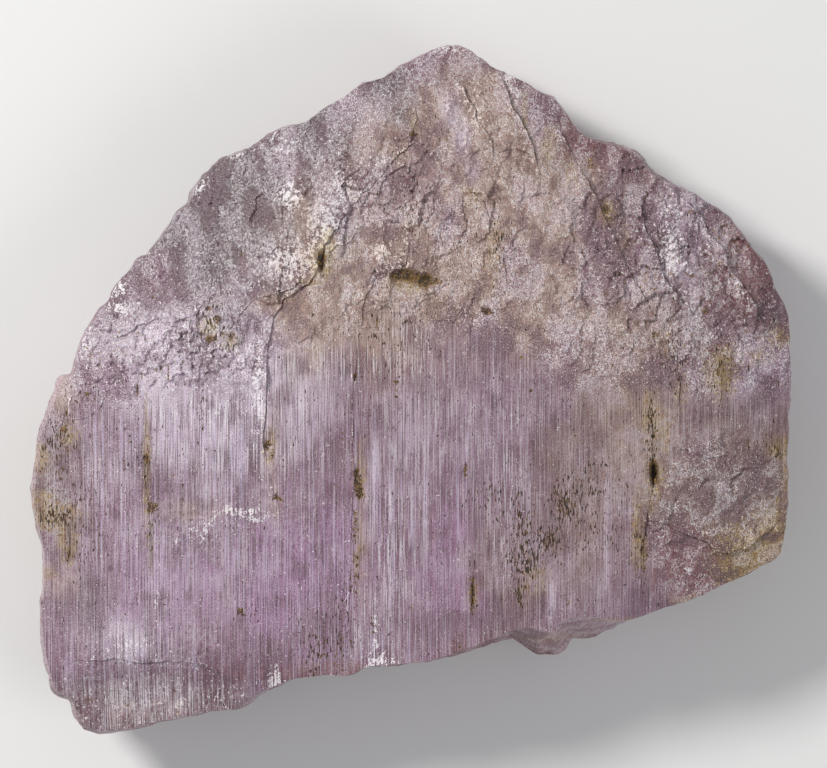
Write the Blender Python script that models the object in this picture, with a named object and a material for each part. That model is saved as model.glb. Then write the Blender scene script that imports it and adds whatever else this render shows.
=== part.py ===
"""Kunzite crystal: one rough plate of lilac gem spodumene, lying on its broad back face.

X runs to the right across the plate, Y along the crystal's c axis towards its worn tip, and Z
up from the surface it rests on. Lengths are in millimetres until the mesh is made in metres.
The plate is one closed body: a front sheet with its facets and ledges, a wall around its
chipped outline, and a back sheet that is flat in the middle.
"""

import math

import bpy
import numpy as np
from mathutils.geometry import delaunay_2d_cdt

MM = 0.001

# Driving dimensions.
FACE_HEIGHT = 27.6
EDGE_STEP = 1.5
FRONT_COLUMN = 1.25
FRONT_ROW = 1.9
BACK_COLUMN = 2.6
BACK_ROW = 3.6
FRONT_WALL_ROWS = 7
BACK_WALL_ROWS = 4
TRIANGLES = 9000

# The outline, clockwise from its lowest corner, in stretches of one character each.
LEFT_SIDE = [
    (-45.1, -49.9), (-47.4, -49.0), (-48.7, -47.3), (-49.6, -44.9), (-51.8, -44.1),
    (-52.5, -42.3), (-53.6, -38.1), (-53.9, -29.3), (-53.4, -24.4), (-53.5, -22.3),
    (-54.4, -20.2), (-55.1, -14.6), (-54.2, -7.8), (-53.5, -5.2), (-51.5, 1.0),
    (-50.8, 2.2), (-49.4, 2.3),
]
CROWN_LEFT = [
    (-48.7, 4.3), (-48.1, 6.8), (-45.2, 11.9), (-43.5, 13.3), (-42.8, 15.5),
    (-39.4, 19.4), (-38.3, 19.7), (-34.1, 26.0), (-32.6, 27.1), (-32.3, 28.3),
    (-30.3, 30.9), (-27.4, 33.4), (-24.2, 34.7), (-22.5, 35.5), (-20.9, 37.1),
    (-17.8, 38.4), (-15.5, 38.7), (-13.6, 40.3), (-7.7, 43.9), (-4.5, 45.1),
    (0.4, 48.4), (5.1, 49.9),
]
CROWN_RIGHT = [
    (6.8, 50.0), (11.7, 46.8), (12.9, 46.0), (14.6, 45.5), (21.3, 41.5),
    (22.6, 40.0), (23.2, 38.3), (24.8, 36.7), (27.1, 36.1), (32.2, 34.6),
    (33.6, 33.3), (35.1, 31.3), (37.8, 29.7), (39.3, 29.3), (44.4, 26.2),
    (46.3, 24.5), (51.2, 18.4), (52.2, 16.4), (52.6, 14.2), (53.9, 12.2),
    (54.6, 10.3),
]
RIGHT_SIDE = [
    (54.5, 7.2), (54.8, 1.0), (54.4, -5.2), (54.1, -10.9), (54.4, -13.9),
    (53.6, -21.6), (53.4, -23.9),
]
BASE_RIGHT = [
    (52.0, -25.4), (46.3, -28.0), (42.8, -29.4), (40.2, -30.7), (32.0, -33.5),
]
BASE_STEP = [
    (28.6, -35.1), (26.7, -36.4), (23.2, -36.5), (22.5, -37.7), (21.0, -38.7),
    (18.3, -38.7),
]
BASE_MIDDLE = [
    (14.5, -36.4), (4.1, -39.6), (-2.9, -40.7),
]
BASE_LEFT = [
    (-6.4, -40.7), (-8.7, -41.7), (-11.7, -41.3), (-16.7, -42.3), (-20.9, -44.1),
    (-23.2, -45.7), (-25.5, -46.8), (-28.1, -46.7), (-42.8, -49.9),
]

# How the wall is drawn along each stretch: how far the front edge stands inside the outline,
# the height of the widest level, how far the back edge stands inside, and the bow of the upper
# and of the lower wall (1 is a round quarter, 2 is a straight bevel).
WALLS = [
    (LEFT_SIDE, 1.3, 12.5, 5.5, 1.2, 1.6),
    (CROWN_LEFT, 0.9, 12.0, 5.0, 1.0, 1.4),
    (CROWN_RIGHT, 0.9, 12.0, 5.0, 1.1, 1.4),
    (RIGHT_SIDE, 1.1, 12.5, 5.5, 1.2, 1.6),
    (BASE_RIGHT, 1.0, 8.0, 3.5, 1.6, 1.3),
    (BASE_STEP, 4.2, 8.0, 3.5, 1.8, 1.3),
    (BASE_MIDDLE, 1.5, 7.5, 3.5, 1.7, 1.3),
    (BASE_LEFT, 1.1, 8.0, 3.5, 1.4, 1.3),
]
# How far along the outline its measures, its edges and its general course are evened out.
WALL_BLEND = 2.0
FRONT_EDGE_BLEND = 1.1
BACK_EDGE_BLEND = 5.0
COURSE_BLEND = 2.5

# Front facets: a point on each plane (x, y, height), the compass it falls towards (degrees
# counterclockwise from X) and its slope in degrees. The face is the lowest of them everywhere.
FACETS = {
    "broad_face": (0.0, -10.0, FACE_HEIGHT, 0, 0.4),
    "left_strips": (-22.0, -15.0, FACE_HEIGHT, 180, 4.0),
    "left_shoulder": (-41.0, -15.0, FACE_HEIGHT - 1.3, 180, 20.0),
    "crown_left": (-10.5, 27.5, FACE_HEIGHT, 133, 29.0),
    "tip": (4.2, 31.6, FACE_HEIGHT - 0.4, 80, 21.0),
    "crown_right": (27.4, 20.0, FACE_HEIGHT - 0.8, 50, 29.0),
    "right_side": (34.0, -4.6, FACE_HEIGHT, 0, 8.0),
    "right_shoulder": (46.5, 0.0, FACE_HEIGHT - 1.8, 0, 20.0),
    "lower_left": (-35.0, -38.3, FACE_HEIGHT - 1.6, 255, 25.0),
    "lower_right": (41.9, -22.0, FACE_HEIGHT - 2.0, 315, 18.0),
}
FACET_SOFTNESS = 0.35

# Back facets, the same way, falling towards the front: the back is the highest of them and of
# the flat face that the crystal rests on.
BACK_FACETS = {
    "back_left": (-39.0, 0.0, 0.0, 180, 18.0),
    "back_right": (41.0, 0.0, 0.0, 0, 16.0),
    "back_crown_left": (-17.0, 17.0, 0.0, 133, 23.0),
    "back_crown_right": (24.0, 18.0, 0.0, 50, 24.0),
    "back_base": (0.0, -34.0, 0.0, 258, 28.0),
}

# Ledges where one layer of the crystal ends above the next. Each is walked with its high side
# on the right hand: height at the start and the end of the walk, how far back from the edge
# the rise spreads, and the walk itself.
LEDGES = {
    "upper_ledge": (0.35, 0.45, 6.0, [
        (0.1, 42.0), (0.7, 38.1), (-0.3, 34.5), (-2.3, 32.2), (-5.7, 29.0), (-8.6, 25.8),
        (-10.3, 22.6), (-12.0, 20.0),
    ]),
    "great_ledge": (0.6, 0.8, 7.0, [
        (-9.6, 24.0), (-10.3, 22.6), (-12.2, 20.0), (-13.2, 17.1), (-14.4, 14.6), (-16.5, 13.8),
        (-18.1, 12.3), (-19.6, 9.6), (-20.3, 5.5), (-20.5, -2.0),
    ]),
    "left_seam": (0.35, 0.25, 4.0, [
        (-20.3, 5.0), (-20.4, 0.4), (-20.7, -4.6), (-21.0, -7.5), (-20.2, -11.9),
        (-18.8, -15.8), (-18.4, -20.0),
    ]),
    "tongue": (0.5, 0.35, 2.0, [
        (-14.9, 15.6), (-17.1, 14.1), (-19.7, 13.3), (-22.2, 12.6), (-23.8, 11.3), (-24.8, 9.6),
    ]),
    "middle_seam": (0.25, 0.2, 3.0, [
        (-7.0, 8.6), (-8.4, 0.4), (-8.3, -4.6), (-8.4, -8.3), (-8.1, -11.9), (-8.4, -16.2),
        (-8.6, -22.0), (-8.8, -34.0),
    ]),
    "tip_facet": (0.9, 0.5, 3.0, [
        (6.0, 44.5), (7.2, 42.9), (8.0, 40.6), (9.6, 37.7), (11.2, 35.2), (11.5, 32.0),
    ]),
    "tip_groove": (1.3, 0.6, 3.5, [
        (12.3, 45.4), (13.9, 41.0), (15.4, 37.8), (17.1, 34.5), (17.9, 30.5),
    ]),
    "centre_arc": (0.45, 0.35, 3.0, [
        (7.6, 29.0), (10.0, 26.5), (10.9, 23.9), (11.7, 20.9), (12.8, 18.6), (13.3, 15.0),
    ]),
    "right_arc": (1.0, 0.6, 3.5, [
        (19.0, 38.5), (21.2, 35.9), (23.8, 31.0), (26.4, 26.2), (28.9, 20.4), (31.0, 16.4),
        (33.2, 11.7), (34.7, 9.4),
    ]),
    "shoulder_shingle": (1.2, 0.8, 3.0, [
        (32.2, 26.6), (33.0, 22.6), (34.4, 19.5), (35.6, 15.8), (37.3, 12.9), (40.1, 9.6),
    ]),
    "outer_shingle": (1.2, 0.8, 3.0, [
        (37.0, 28.7), (39.6, 26.4), (41.2, 24.0), (43.8, 20.4), (45.0, 17.2), (46.7, 14.6),
        (48.4, 12.0), (50.4, 8.0),
    ]),
    "right_seam": (0.25, 0.2, 3.0, [
        (34.7, 9.4), (35.8, 6.2), (37.3, 3.0), (37.7, 0.6), (37.4, -3.0),
    ]),
    "lower_right_shell": (0.55, 0.55, 3.0, [
        (53.4, -17.2), (52.5, -18.2), (49.6, -20.9), (47.3, -22.5), (44.8, -23.3), (42.9, -23.1),
        (40.9, -21.4), (38.0, -19.9), (35.5, -19.0), (32.4, -18.6),
    ]),
    "low_left_break": (0.5, 0.35, 3.5, [
        (-25.1, -41.0), (-27.0, -39.7), (-30.6, -38.3), (-34.9, -38.7), (-40.7, -38.4),
        (-49.4, -38.7),
    ]),
}
LEDGE_TAPER = 0.14
LEDGE_FOOT = (0.08, 0.6)
LEDGE_POINT_STEP = 1.5
LEDGE_LIP = 0.12

# Pockets dissolved or broken into the face: centre, half width, half height and depth.
POCKETS = {
    "clay_pocket": (-1.3, 16.0, 1.9, 0.8, 0.9),
    "clay_pocket_right": (2.0, 15.2, 2.0, 0.7, 0.8),
    "fissure": (34.0, -11.9, 0.8, 1.7, 1.4),
    "small_pocket": (10.6, 10.9, 0.8, 0.7, 0.6),
    "ledge_pocket": (-12.7, 18.2, 0.7, 1.4, 0.6),
    "seam_pocket": (-7.5, -13.2, 0.8, 2.0, 0.6),
    "left_seam_pocket": (-20.3, -7.9, 0.8, 0.8, 0.5),
}

# Shallow thumb-print hollows that meet in ridges: centre and half size of the patch, size of
# one hollow across and along, their depth and the seed that places them.
HOLLOWS = {
    "crown_left": (-24.0, 23.0, 18.0, 16.0, 7.0, 7.0, 0.6, 3),
    "crown_right": (33.0, 24.0, 18.0, 14.0, 4.6, 8.5, 0.7, 5),
    "tip": (6.0, 38.0, 9.0, 9.0, 4.5, 7.0, 0.4, 7),
    "lower_right": (44.0, -14.0, 10.0, 10.0, 7.0, 5.0, 0.4, 11),
    "lower_left": (-38.0, -45.0, 14.0, 5.0, 4.0, 6.0, 0.4, 13),
}

# Scales that the etched ground broke into: centre and half size of the patch, size of a scale,
# how steeply the scales tilt, and the seed that places them.
SHINGLES = {
    "upper_centre": (6.0, 29.0, 17.0, 11.0, 3.6, 0.13, 401),
    "right_shoulder": (36.0, 21.0, 17.0, 14.0, 2.7, 0.22, 403),
    "crown_left": (-24.0, 25.0, 19.0, 15.0, 4.5, 0.10, 405),
    "lower_right": (43.5, -16.0, 12.0, 14.0, 2.4, 0.12, 408),
}
DOWNHILL = -50.0

# Broad swells of the face, dents in the wall, and how far the wall's rim and front edge wander:
# size of one, its depth or reach, and the seed that places them.
SWELL = (16.0, 22.0, 0.35, 17)
WALL_CHIPS = (6.5, 6.0, 0.8, 19)
RIM_WANDER = (13.0, 2.4, 23)
EDGE_WANDER = (8.0, 0.25, 29)

# How many cells a chance pattern has before it repeats, how near the points of a sheet may come
# to its edge and its ledges, in columns, and the distance at which two points count as one.
CELLS = 128
POINT_GAP = 0.6
SAME_POINT = 1e-6

LILAC = (0.42, 0.30, 0.40, 1.0)
ROUGHNESS = 0.38
REFRACTION = 1.66
SEE_THROUGH = 0.4


def smoothstep(values):
    values = np.clip(values, 0.0, 1.0)
    return values * values * (3.0 - 2.0 * values)


def lattice_noise(x, y, cell_x, cell_y, seed):
    """Smooth noise from -1 to 1 whose lumps measure about cell_x by cell_y."""
    size = CELLS
    grid = np.random.default_rng(seed).uniform(-1.0, 1.0, (size, size))
    u = x / cell_x + size / 2
    v = y / cell_y + size / 2
    i = np.floor(u).astype(int)
    j = np.floor(v).astype(int)
    across = smoothstep(u - i)
    along = smoothstep(v - j)
    low = grid[i % size, j % size] * (1 - across) + grid[(i + 1) % size, j % size] * across
    high = (
        grid[i % size, (j + 1) % size] * (1 - across)
        + grid[(i + 1) % size, (j + 1) % size] * across
    )
    return low * (1 - along) + high * along


def thumb_prints(x, y, cell_x, cell_y, seed):
    """Hollows from 0 at their middles to about 1 on the ridges where they meet."""
    size = CELLS
    chance = np.random.default_rng(seed)
    offset_x = chance.uniform(0.1, 0.9, (size, size))
    offset_y = chance.uniform(0.1, 0.9, (size, size))
    lift = chance.uniform(0.0, 0.35, (size, size))
    u = x / cell_x + size / 2
    v = y / cell_y + size / 2
    i = np.floor(u).astype(int)
    j = np.floor(v).astype(int)
    lowest = np.full(np.shape(x), 9.0)
    for di in (-1, 0, 1):
        for dj in (-1, 0, 1):
            column = (i + di) % size
            row = (j + dj) % size
            across = u - (i + di + offset_x[column, row])
            along = v - (j + dj + offset_y[column, row])
            lowest = np.minimum(lowest, across**2 + along**2 + lift[column, row])
    return lowest


def shingles(x, y, cell, tilt, seed):
    """Height of tilted scales, each a plane about its own middle, most of them low at the right."""
    size = CELLS
    chance = np.random.default_rng(seed)
    offset_x = chance.uniform(0.05, 0.95, (size, size))
    offset_y = chance.uniform(0.05, 0.95, (size, size))
    facing = np.radians(DOWNHILL + chance.normal(0.0, 55.0, (size, size)))
    slope = tilt * chance.uniform(0.3, 1.3, (size, size))
    bent_x = x + 0.30 * cell * lattice_noise(x, y, 0.8 * cell, 0.8 * cell, seed + 20)
    bent_y = y + 0.30 * cell * lattice_noise(x, y, 0.8 * cell, 0.8 * cell, seed + 40)
    u = bent_x / cell + size / 2
    v = bent_y / (1.25 * cell) + size / 2
    i = np.floor(u).astype(int)
    j = np.floor(v).astype(int)
    nearest = np.full(np.shape(x), 9.0)
    height = np.zeros(np.shape(x))
    for di in (-1, 0, 1):
        for dj in (-1, 0, 1):
            column = (i + di) % size
            row = (j + dj) % size
            across = u - (i + di + offset_x[column, row])
            along = v - (j + dj + offset_y[column, row])
            distance = np.hypot(across, along)
            turn = facing[column, row]
            plane = (across * np.cos(turn) + along * np.sin(turn)) * slope[column, row] * cell
            height = np.where(distance < nearest, plane, height)
            nearest = np.minimum(nearest, distance)
    return height


def plane_height(x, y, plane):
    point_x, point_y, height, compass, slope = plane
    turn = math.radians(compass)
    fall = (x - point_x) * math.cos(turn) + (y - point_y) * math.sin(turn)
    return height - fall * math.tan(math.radians(slope))


def walk(points, step):
    """Points along a polyline, no more than step apart, its own corners among them."""
    points = np.asarray(points, float)
    walked = []
    for start, end in zip(points[:-1], points[1:]):
        pieces = max(1, math.ceil(np.linalg.norm(end - start) / step))
        for part in range(pieces):
            walked.append(start + (end - start) * part / pieces)
    walked.append(points[-1])
    return np.array(walked)


def beside_line(x, y, line):
    """Distance from a polyline, positive on its right, and the nearest place along it, 0 to 1."""
    starts = line[:-1]
    runs = line[1:] - starts
    lengths = np.linalg.norm(runs, axis=1)
    before = np.concatenate([[0.0], np.cumsum(lengths)])
    best = np.full(np.shape(x), np.inf)
    side = np.zeros(np.shape(x))
    place = np.zeros(np.shape(x))
    for index, (start, run) in enumerate(zip(starts, runs)):
        length = lengths[index]
        from_x = x - start[0]
        from_y = y - start[1]
        part = np.clip((from_x * run[0] + from_y * run[1]) / length**2, 0.0, 1.0)
        gap = (from_x - part * run[0]) ** 2 + (from_y - part * run[1]) ** 2
        right = (from_x * run[1] - from_y * run[0]) / length
        score = gap - 1e-6 * right**2
        nearer = score < best
        best = np.where(nearer, score, best)
        side = np.where(nearer, np.sign(right) * np.sqrt(gap), side)
        place = np.where(nearer, (before[index] + part * length) / before[-1], place)
    return side, place


def ledge_rise(x, y, ledge):
    """The lift beside a ledge: greatest on its edge, and a slight trough at its foot."""
    start_height, end_height, reach, points = ledge
    side, place = beside_line(x, y, np.asarray(points, float))
    height = start_height + (end_height - start_height) * place
    height = height * smoothstep(place / LEDGE_TAPER) * smoothstep((1 - place) / LEDGE_TAPER)
    foot_depth, foot_reach = LEDGE_FOOT
    lift = np.exp(-np.abs(side) / reach)
    trough = -foot_depth * np.exp(-np.abs(side) / foot_reach)
    return height * np.where(side > 0, lift, trough)


def patch(x, y, centre_x, centre_y, half_x, half_y):
    """1 inside an oval patch, fading to 0 outside it."""
    away = ((x - centre_x) / half_x) ** 2 + ((y - centre_y) / half_y) ** 2
    return smoothstep(1.5 - away)


def facet_height(x, y):
    planes = np.array([plane_height(x, y, plane) for plane in FACETS.values()])
    lowest = planes.min(axis=0)
    spread = np.exp((lowest - planes) / FACET_SOFTNESS).sum(axis=0)
    return lowest - FACET_SOFTNESS * np.log(spread)


def front_height(x, y):
    height = facet_height(x, y)
    for ledge in LEDGES.values():
        height = height + ledge_rise(x, y, ledge)
    for centre_x, centre_y, half_x, half_y, depth in POCKETS.values():
        away = ((x - centre_x) / half_x) ** 2 + ((y - centre_y) / half_y) ** 2
        height = height - depth * np.exp(-(away**2))
    for centre_x, centre_y, half_x, half_y, cell_x, cell_y, depth, seed in HOLLOWS.values():
        share = patch(x, y, centre_x, centre_y, half_x, half_y)
        height = height + depth * share * (thumb_prints(x, y, cell_x, cell_y, seed) - 0.5)
    for centre_x, centre_y, half_x, half_y, cell, tilt, seed in SHINGLES.values():
        share = patch(x, y, centre_x, centre_y, half_x, half_y)
        height = height + share * shingles(x, y, cell, tilt, seed)
    cell_x, cell_y, depth, seed = SWELL
    return height + depth * lattice_noise(x, y, cell_x, cell_y, seed)


def back_height(x, y):
    """Zero on the resting face. A back facet rises outwards, as the negative of a plane falls."""
    planes = [-plane_height(x, y, plane) for plane in BACK_FACETS.values()]
    return np.maximum(0.0, np.max(planes, axis=0))


def smooth_loop(values, reach, step):
    """Values around a closed loop, averaged over about reach millimetres each way."""
    values = np.asarray(values, float)
    spread = reach / step
    half = math.ceil(3 * spread)
    weights = np.exp(-0.5 * (np.arange(-half, half + 1) / spread) ** 2)
    shifted = [w * np.roll(values, k, axis=0) for w, k in zip(weights, range(-half, half + 1))]
    return np.sum(shifted, axis=0) / weights.sum()


def outline_and_walls():
    """The outline's points and, for each, its wall's five measures."""
    loop = []
    measures = []
    stretches = [stretch for stretch, *_ in WALLS]
    for index, (stretch, *wall) in enumerate(WALLS):
        following = stretches[(index + 1) % len(stretches)][0]
        points = walk(stretch + [following], EDGE_STEP)[:-1]
        loop.extend(points)
        measures.extend([wall] * len(points))
    measures = smooth_loop(measures, WALL_BLEND, EDGE_STEP)
    return np.array(loop), measures


def inner_edge(loop, inset, blend):
    """The outline evened out and moved inwards by inset. The outline runs clockwise."""
    even = smooth_loop(loop, blend, EDGE_STEP)
    course = smooth_loop(loop, max(blend, COURSE_BLEND), EDGE_STEP)
    run = np.roll(course, -1, axis=0) - np.roll(course, 1, axis=0)
    run /= np.linalg.norm(run, axis=1)[:, None]
    inwards = np.stack([run[:, 1], -run[:, 0]], axis=1)
    return even + inwards * np.asarray(inset)[:, None]


def wall_rows(loop, measures):
    """Rings of points from the front edge over the widest level to the back edge."""
    inset_front, rim, inset_back, bow_front, bow_back = measures.T
    length = np.arange(len(loop)) * EDGE_STEP
    rim = rim + around_noise(length, *RIM_WANDER)
    front = inner_edge(loop, inset_front + around_noise(length, *EDGE_WANDER), FRONT_EDGE_BLEND)
    back = inner_edge(loop, inset_back, BACK_EDGE_BLEND)
    front_z = front_height(front[:, 0], front[:, 1])
    back_z = back_height(back[:, 0], back[:, 1])
    rings = []
    for row in range(FRONT_WALL_ROWS):
        part = row / FRONT_WALL_ROWS
        out = math.sin(part * math.pi / 2) ** bow_front
        height = rim + (front_z - rim) * math.cos(part * math.pi / 2) ** bow_front
        place = front + (loop - front) * out[:, None]
        rings.append(chipped(place, height, length, math.sin(part * math.pi)))
    for row in range(BACK_WALL_ROWS + 1):
        part = row / BACK_WALL_ROWS
        out = math.cos(part * math.pi / 2) ** bow_back
        height = rim + (back_z - rim) * math.sin(part * math.pi / 2) ** bow_back
        place = back + (loop - back) * out[:, None]
        rings.append(chipped(place, height, length, math.sin(part * math.pi)))
    return rings


def around_noise(length, cell, amount, seed):
    """Slow wander around the outline that closes on itself."""
    whole = len(length) * EDGE_STEP
    start = lattice_noise(length, 0.0 * length, cell, 1.0, seed)
    end = lattice_noise(length - whole, 0.0 * length, cell, 1.0, seed)
    share = smoothstep((length / whole - 0.9) / 0.1)
    return amount * (start * (1 - share) + end * share)


def chipped(place, height, length, share):
    """One ring of the wall, dented inwards by chips. They fade out at its edges and its rim."""
    cell_along, cell_up, depth, seed = WALL_CHIPS
    dent = thumb_prints(length, height, cell_along, cell_up, seed)
    inwards = place.mean(axis=0) - place
    inwards /= np.linalg.norm(inwards, axis=1)[:, None]
    amount = depth * np.clip(0.9 - dent, 0.0, 0.9) * share
    return np.column_stack([place + inwards * amount[:, None], height])


def ledge_points():
    """Pairs of points just above and just below each ledge, so that its edge stays crisp."""
    pairs = []
    for *_, points in LEDGES.values():
        line = walk(points, LEDGE_POINT_STEP)
        run = np.gradient(line, axis=0)
        run /= np.linalg.norm(run, axis=1)[:, None]
        right = np.stack([run[:, 1], -run[:, 0]], axis=1)
        pairs.append(line + right * LEDGE_LIP)
        pairs.append(line - right * LEDGE_LIP)
    return np.concatenate(pairs)


def inside(points, loop):
    """Which points lie inside a closed loop, by crossings of a ray along X."""
    x, y = points.T
    crossings = np.zeros(len(points), int)
    for (x1, y1), (x2, y2) in zip(loop, np.roll(loop, -1, axis=0)):
        if y1 == y2:
            continue
        spans = (y1 > y) != (y2 > y)
        crossings += spans & (x < (x2 - x1) * (y - y1) / (y2 - y1) + x1)
    return crossings % 2 == 1


def clear_of(points, others, gap_x, gap_y):
    """The points that keep a gap to all of the others."""
    keep = np.ones(len(points), bool)
    for other_x, other_y in others:
        near = ((points[:, 0] - other_x) / gap_x) ** 2 + ((points[:, 1] - other_y) / gap_y) ** 2
        keep &= near > 1.0
    return points[keep]


def staggered_grid(column, row, loop):
    low = loop.min(axis=0)
    high = loop.max(axis=0)
    columns = np.arange(low[0], high[0], column)
    rows = np.arange(low[1], high[1], row)
    x, y = np.meshgrid(columns, rows, indexing="ij")
    y = y + (np.arange(len(columns)) % 2)[:, None] * row / 2
    return np.column_stack([x.ravel(), y.ravel()])


def fill_loop(loop, column, row, extra):
    """Points inside a loop and the triangles over them. The loop's own points come first."""
    points = staggered_grid(column, row, loop)
    if len(extra):
        points = clear_of(points, extra, column * POINT_GAP, row * POINT_GAP)
        points = np.concatenate([points, extra])
    points = points[inside(points, loop)]
    points = clear_of(points, loop, column * POINT_GAP, column * POINT_GAP)
    everything = np.concatenate([loop, points])
    # The plane is squeezed along Y while it is triangulated, so that triangles run with the c axis.
    squeezed = everything * np.array([1.0, column / row])
    ring = list(range(len(loop)))
    placed, _, faces, sources, _, _ = delaunay_2d_cdt(
        [tuple(p) for p in squeezed], [], [ring], 1, SAME_POINT
    )
    if len(placed) != len(everything) or any(s[0] != i for i, s in enumerate(sources)):
        raise RuntimeError("two points of a sheet coincide")
    return points, np.array(faces)


def crystal_mesh():
    loop, measures = outline_and_walls()
    rings = wall_rows(loop, measures)
    count = len(loop)
    front_loop = rings[0][:, :2]
    back_loop = rings[-1][:, :2]
    front_points, front_faces = fill_loop(
        front_loop, FRONT_COLUMN, FRONT_ROW, ledge_points()
    )
    back_points, back_faces = fill_loop(back_loop, BACK_COLUMN, BACK_ROW, [])
    front_z = front_height(*front_points.T)
    back_z = back_height(*back_points.T)
    vertices = np.concatenate([
        *rings,
        np.column_stack([front_points, front_z]),
        np.column_stack([back_points, back_z]),
    ])
    first_front = count * len(rings)
    first_back = first_front + len(front_points)
    last_ring = count * (len(rings) - 1)

    def numbered(face, ring_start, inner_start):
        return [ring_start + v if v < count else inner_start + v - count for v in face]

    faces = [numbered(face, 0, first_front) for face in front_faces]
    faces += [numbered(face, last_ring, first_back)[::-1] for face in back_faces]
    for row in range(len(rings) - 1):
        upper = row * count
        lower = upper + count
        for i in range(count):
            j = (i + 1) % count
            faces.append([upper + i, upper + j, lower + j, lower + i])
    return vertices, faces


def crystal_material():
    material = bpy.data.materials.new("kunzite")
    material.use_nodes = True
    shader = material.node_tree.nodes["Principled BSDF"]
    shader.inputs["Base Color"].default_value = LILAC
    shader.inputs["Roughness"].default_value = ROUGHNESS
    shader.inputs["Metallic"].default_value = 0.0
    shader.inputs["IOR"].default_value = REFRACTION
    shader.inputs["Transmission Weight"].default_value = SEE_THROUGH
    material.diffuse_color = LILAC
    return material


def clear_scene():
    for item in list(bpy.data.objects):
        bpy.data.objects.remove(item, do_unlink=True)


def main():
    clear_scene()
    vertices, faces = crystal_mesh()
    middle = (vertices.min(axis=0) + vertices.max(axis=0)) / 2
    vertices = (vertices - np.array([middle[0], middle[1], 0.0])) * MM
    mesh = bpy.data.meshes.new("crystal")
    mesh.from_pydata(vertices.tolist(), [], faces)
    mesh.validate()
    mesh.materials.append(crystal_material())
    crystal = bpy.data.objects.new("crystal", mesh)
    bpy.context.scene.collection.objects.link(crystal)
    mesh.calc_loop_triangles()
    thin = crystal.modifiers.new("Fewer faces on flat ground", "DECIMATE")
    thin.ratio = min(1.0, TRIANGLES / len(mesh.loop_triangles))


main()
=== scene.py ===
"""Looks of the kunzite crystal: its finely striated, chipped and frosted surface in real relief,
its milky lilac see-through body, the clay in its pits, and a plain studio around it.

Lengths in the tables are millimetres in the part's own frame, before the outline is centred.
Soft patches are given by their centre (x, y), half width and half height, then their strength.
"""

import math

import bpy
import numpy as np
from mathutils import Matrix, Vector
from mathutils.geometry import delaunay_2d_cdt

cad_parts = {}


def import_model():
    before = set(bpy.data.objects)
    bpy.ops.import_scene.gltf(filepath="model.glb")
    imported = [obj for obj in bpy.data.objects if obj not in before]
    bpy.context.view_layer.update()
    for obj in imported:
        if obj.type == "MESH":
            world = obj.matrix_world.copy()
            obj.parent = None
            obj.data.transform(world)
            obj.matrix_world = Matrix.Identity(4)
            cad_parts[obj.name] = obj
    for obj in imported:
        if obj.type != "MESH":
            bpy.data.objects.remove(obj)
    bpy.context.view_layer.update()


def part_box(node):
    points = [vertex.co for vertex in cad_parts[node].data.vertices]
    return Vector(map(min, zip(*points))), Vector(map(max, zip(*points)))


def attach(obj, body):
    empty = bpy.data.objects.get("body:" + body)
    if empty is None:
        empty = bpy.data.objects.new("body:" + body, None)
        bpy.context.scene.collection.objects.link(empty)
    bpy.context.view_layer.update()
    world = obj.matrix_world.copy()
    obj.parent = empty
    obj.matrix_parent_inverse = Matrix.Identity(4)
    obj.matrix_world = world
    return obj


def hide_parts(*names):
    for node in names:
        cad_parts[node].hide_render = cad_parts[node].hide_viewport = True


MM = 0.001
BODY = "root"
NODE = "crystal"

# ---- the crystal's main shape
FACE_HEIGHT = 27.6

# The outline, clockwise from its lowest corner, in stretches of one character each.
LEFT_SIDE = [
    (-45.1, -49.9), (-47.4, -49), (-48.7, -47.3), (-49.6, -44.9), (-51.8, -44.1), (-52.5, -42.3),
    (-53.6, -38.1), (-53.9, -29.3), (-53.4, -24.4), (-53.5, -22.3), (-54.4, -20.2), (-55.1, -14.6),
    (-54.2, -7.8), (-53.5, -5.2), (-51.5, 1), (-50.8, 2.2), (-49.4, 2.3),
]
CROWN_LEFT = [
    (-48.7, 4.3), (-48.1, 6.8), (-45.2, 11.9), (-43.5, 13.3), (-42.8, 15.5), (-39.4, 19.4),
    (-38.3, 19.7), (-34.1, 26), (-32.6, 27.1), (-32.3, 28.3), (-30.3, 30.9), (-27.4, 33.4),
    (-24.2, 34.7), (-22.5, 35.5), (-20.9, 37.1), (-17.8, 38.4), (-15.5, 38.7), (-13.6, 40.3),
    (-7.7, 43.9), (-4.5, 45.1), (0.4, 48.4), (5.1, 49.9),
]
CROWN_RIGHT = [
    (6.8, 50), (11.7, 46.8), (12.9, 46), (14.6, 45.5), (21.3, 41.5), (22.6, 40), (23.2, 38.3),
    (24.8, 36.7), (27.1, 36.1), (32.2, 34.6), (33.6, 33.3), (35.1, 31.3), (37.8, 29.7), (39.3, 29.3),
    (44.4, 26.2), (46.3, 24.5), (51.2, 18.4), (52.2, 16.4), (52.6, 14.2), (53.9, 12.2), (54.6, 10.3),
]
RIGHT_SIDE = [
    (54.5, 7.2), (54.8, 1), (54.4, -5.2), (54.1, -10.9), (54.4, -13.9), (53.6, -21.6), (53.4, -23.9),
]
BASE_RIGHT = [(52, -25.4), (46.3, -28), (42.8, -29.4), (40.2, -30.7), (32, -33.5)]
BASE_STEP = [(28.6, -35.1), (26.7, -36.4), (23.2, -36.5), (22.5, -37.7), (21, -38.7), (18.3, -38.7)]
BASE_MIDDLE = [(14.5, -36.4), (4.1, -39.6), (-2.9, -40.7)]
BASE_LEFT = [
    (-6.4, -40.7), (-8.7, -41.7), (-11.7, -41.3), (-16.7, -42.3), (-20.9, -44.1), (-23.2, -45.7),
    (-25.5, -46.8), (-28.1, -46.7), (-42.8, -49.9),
]

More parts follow.
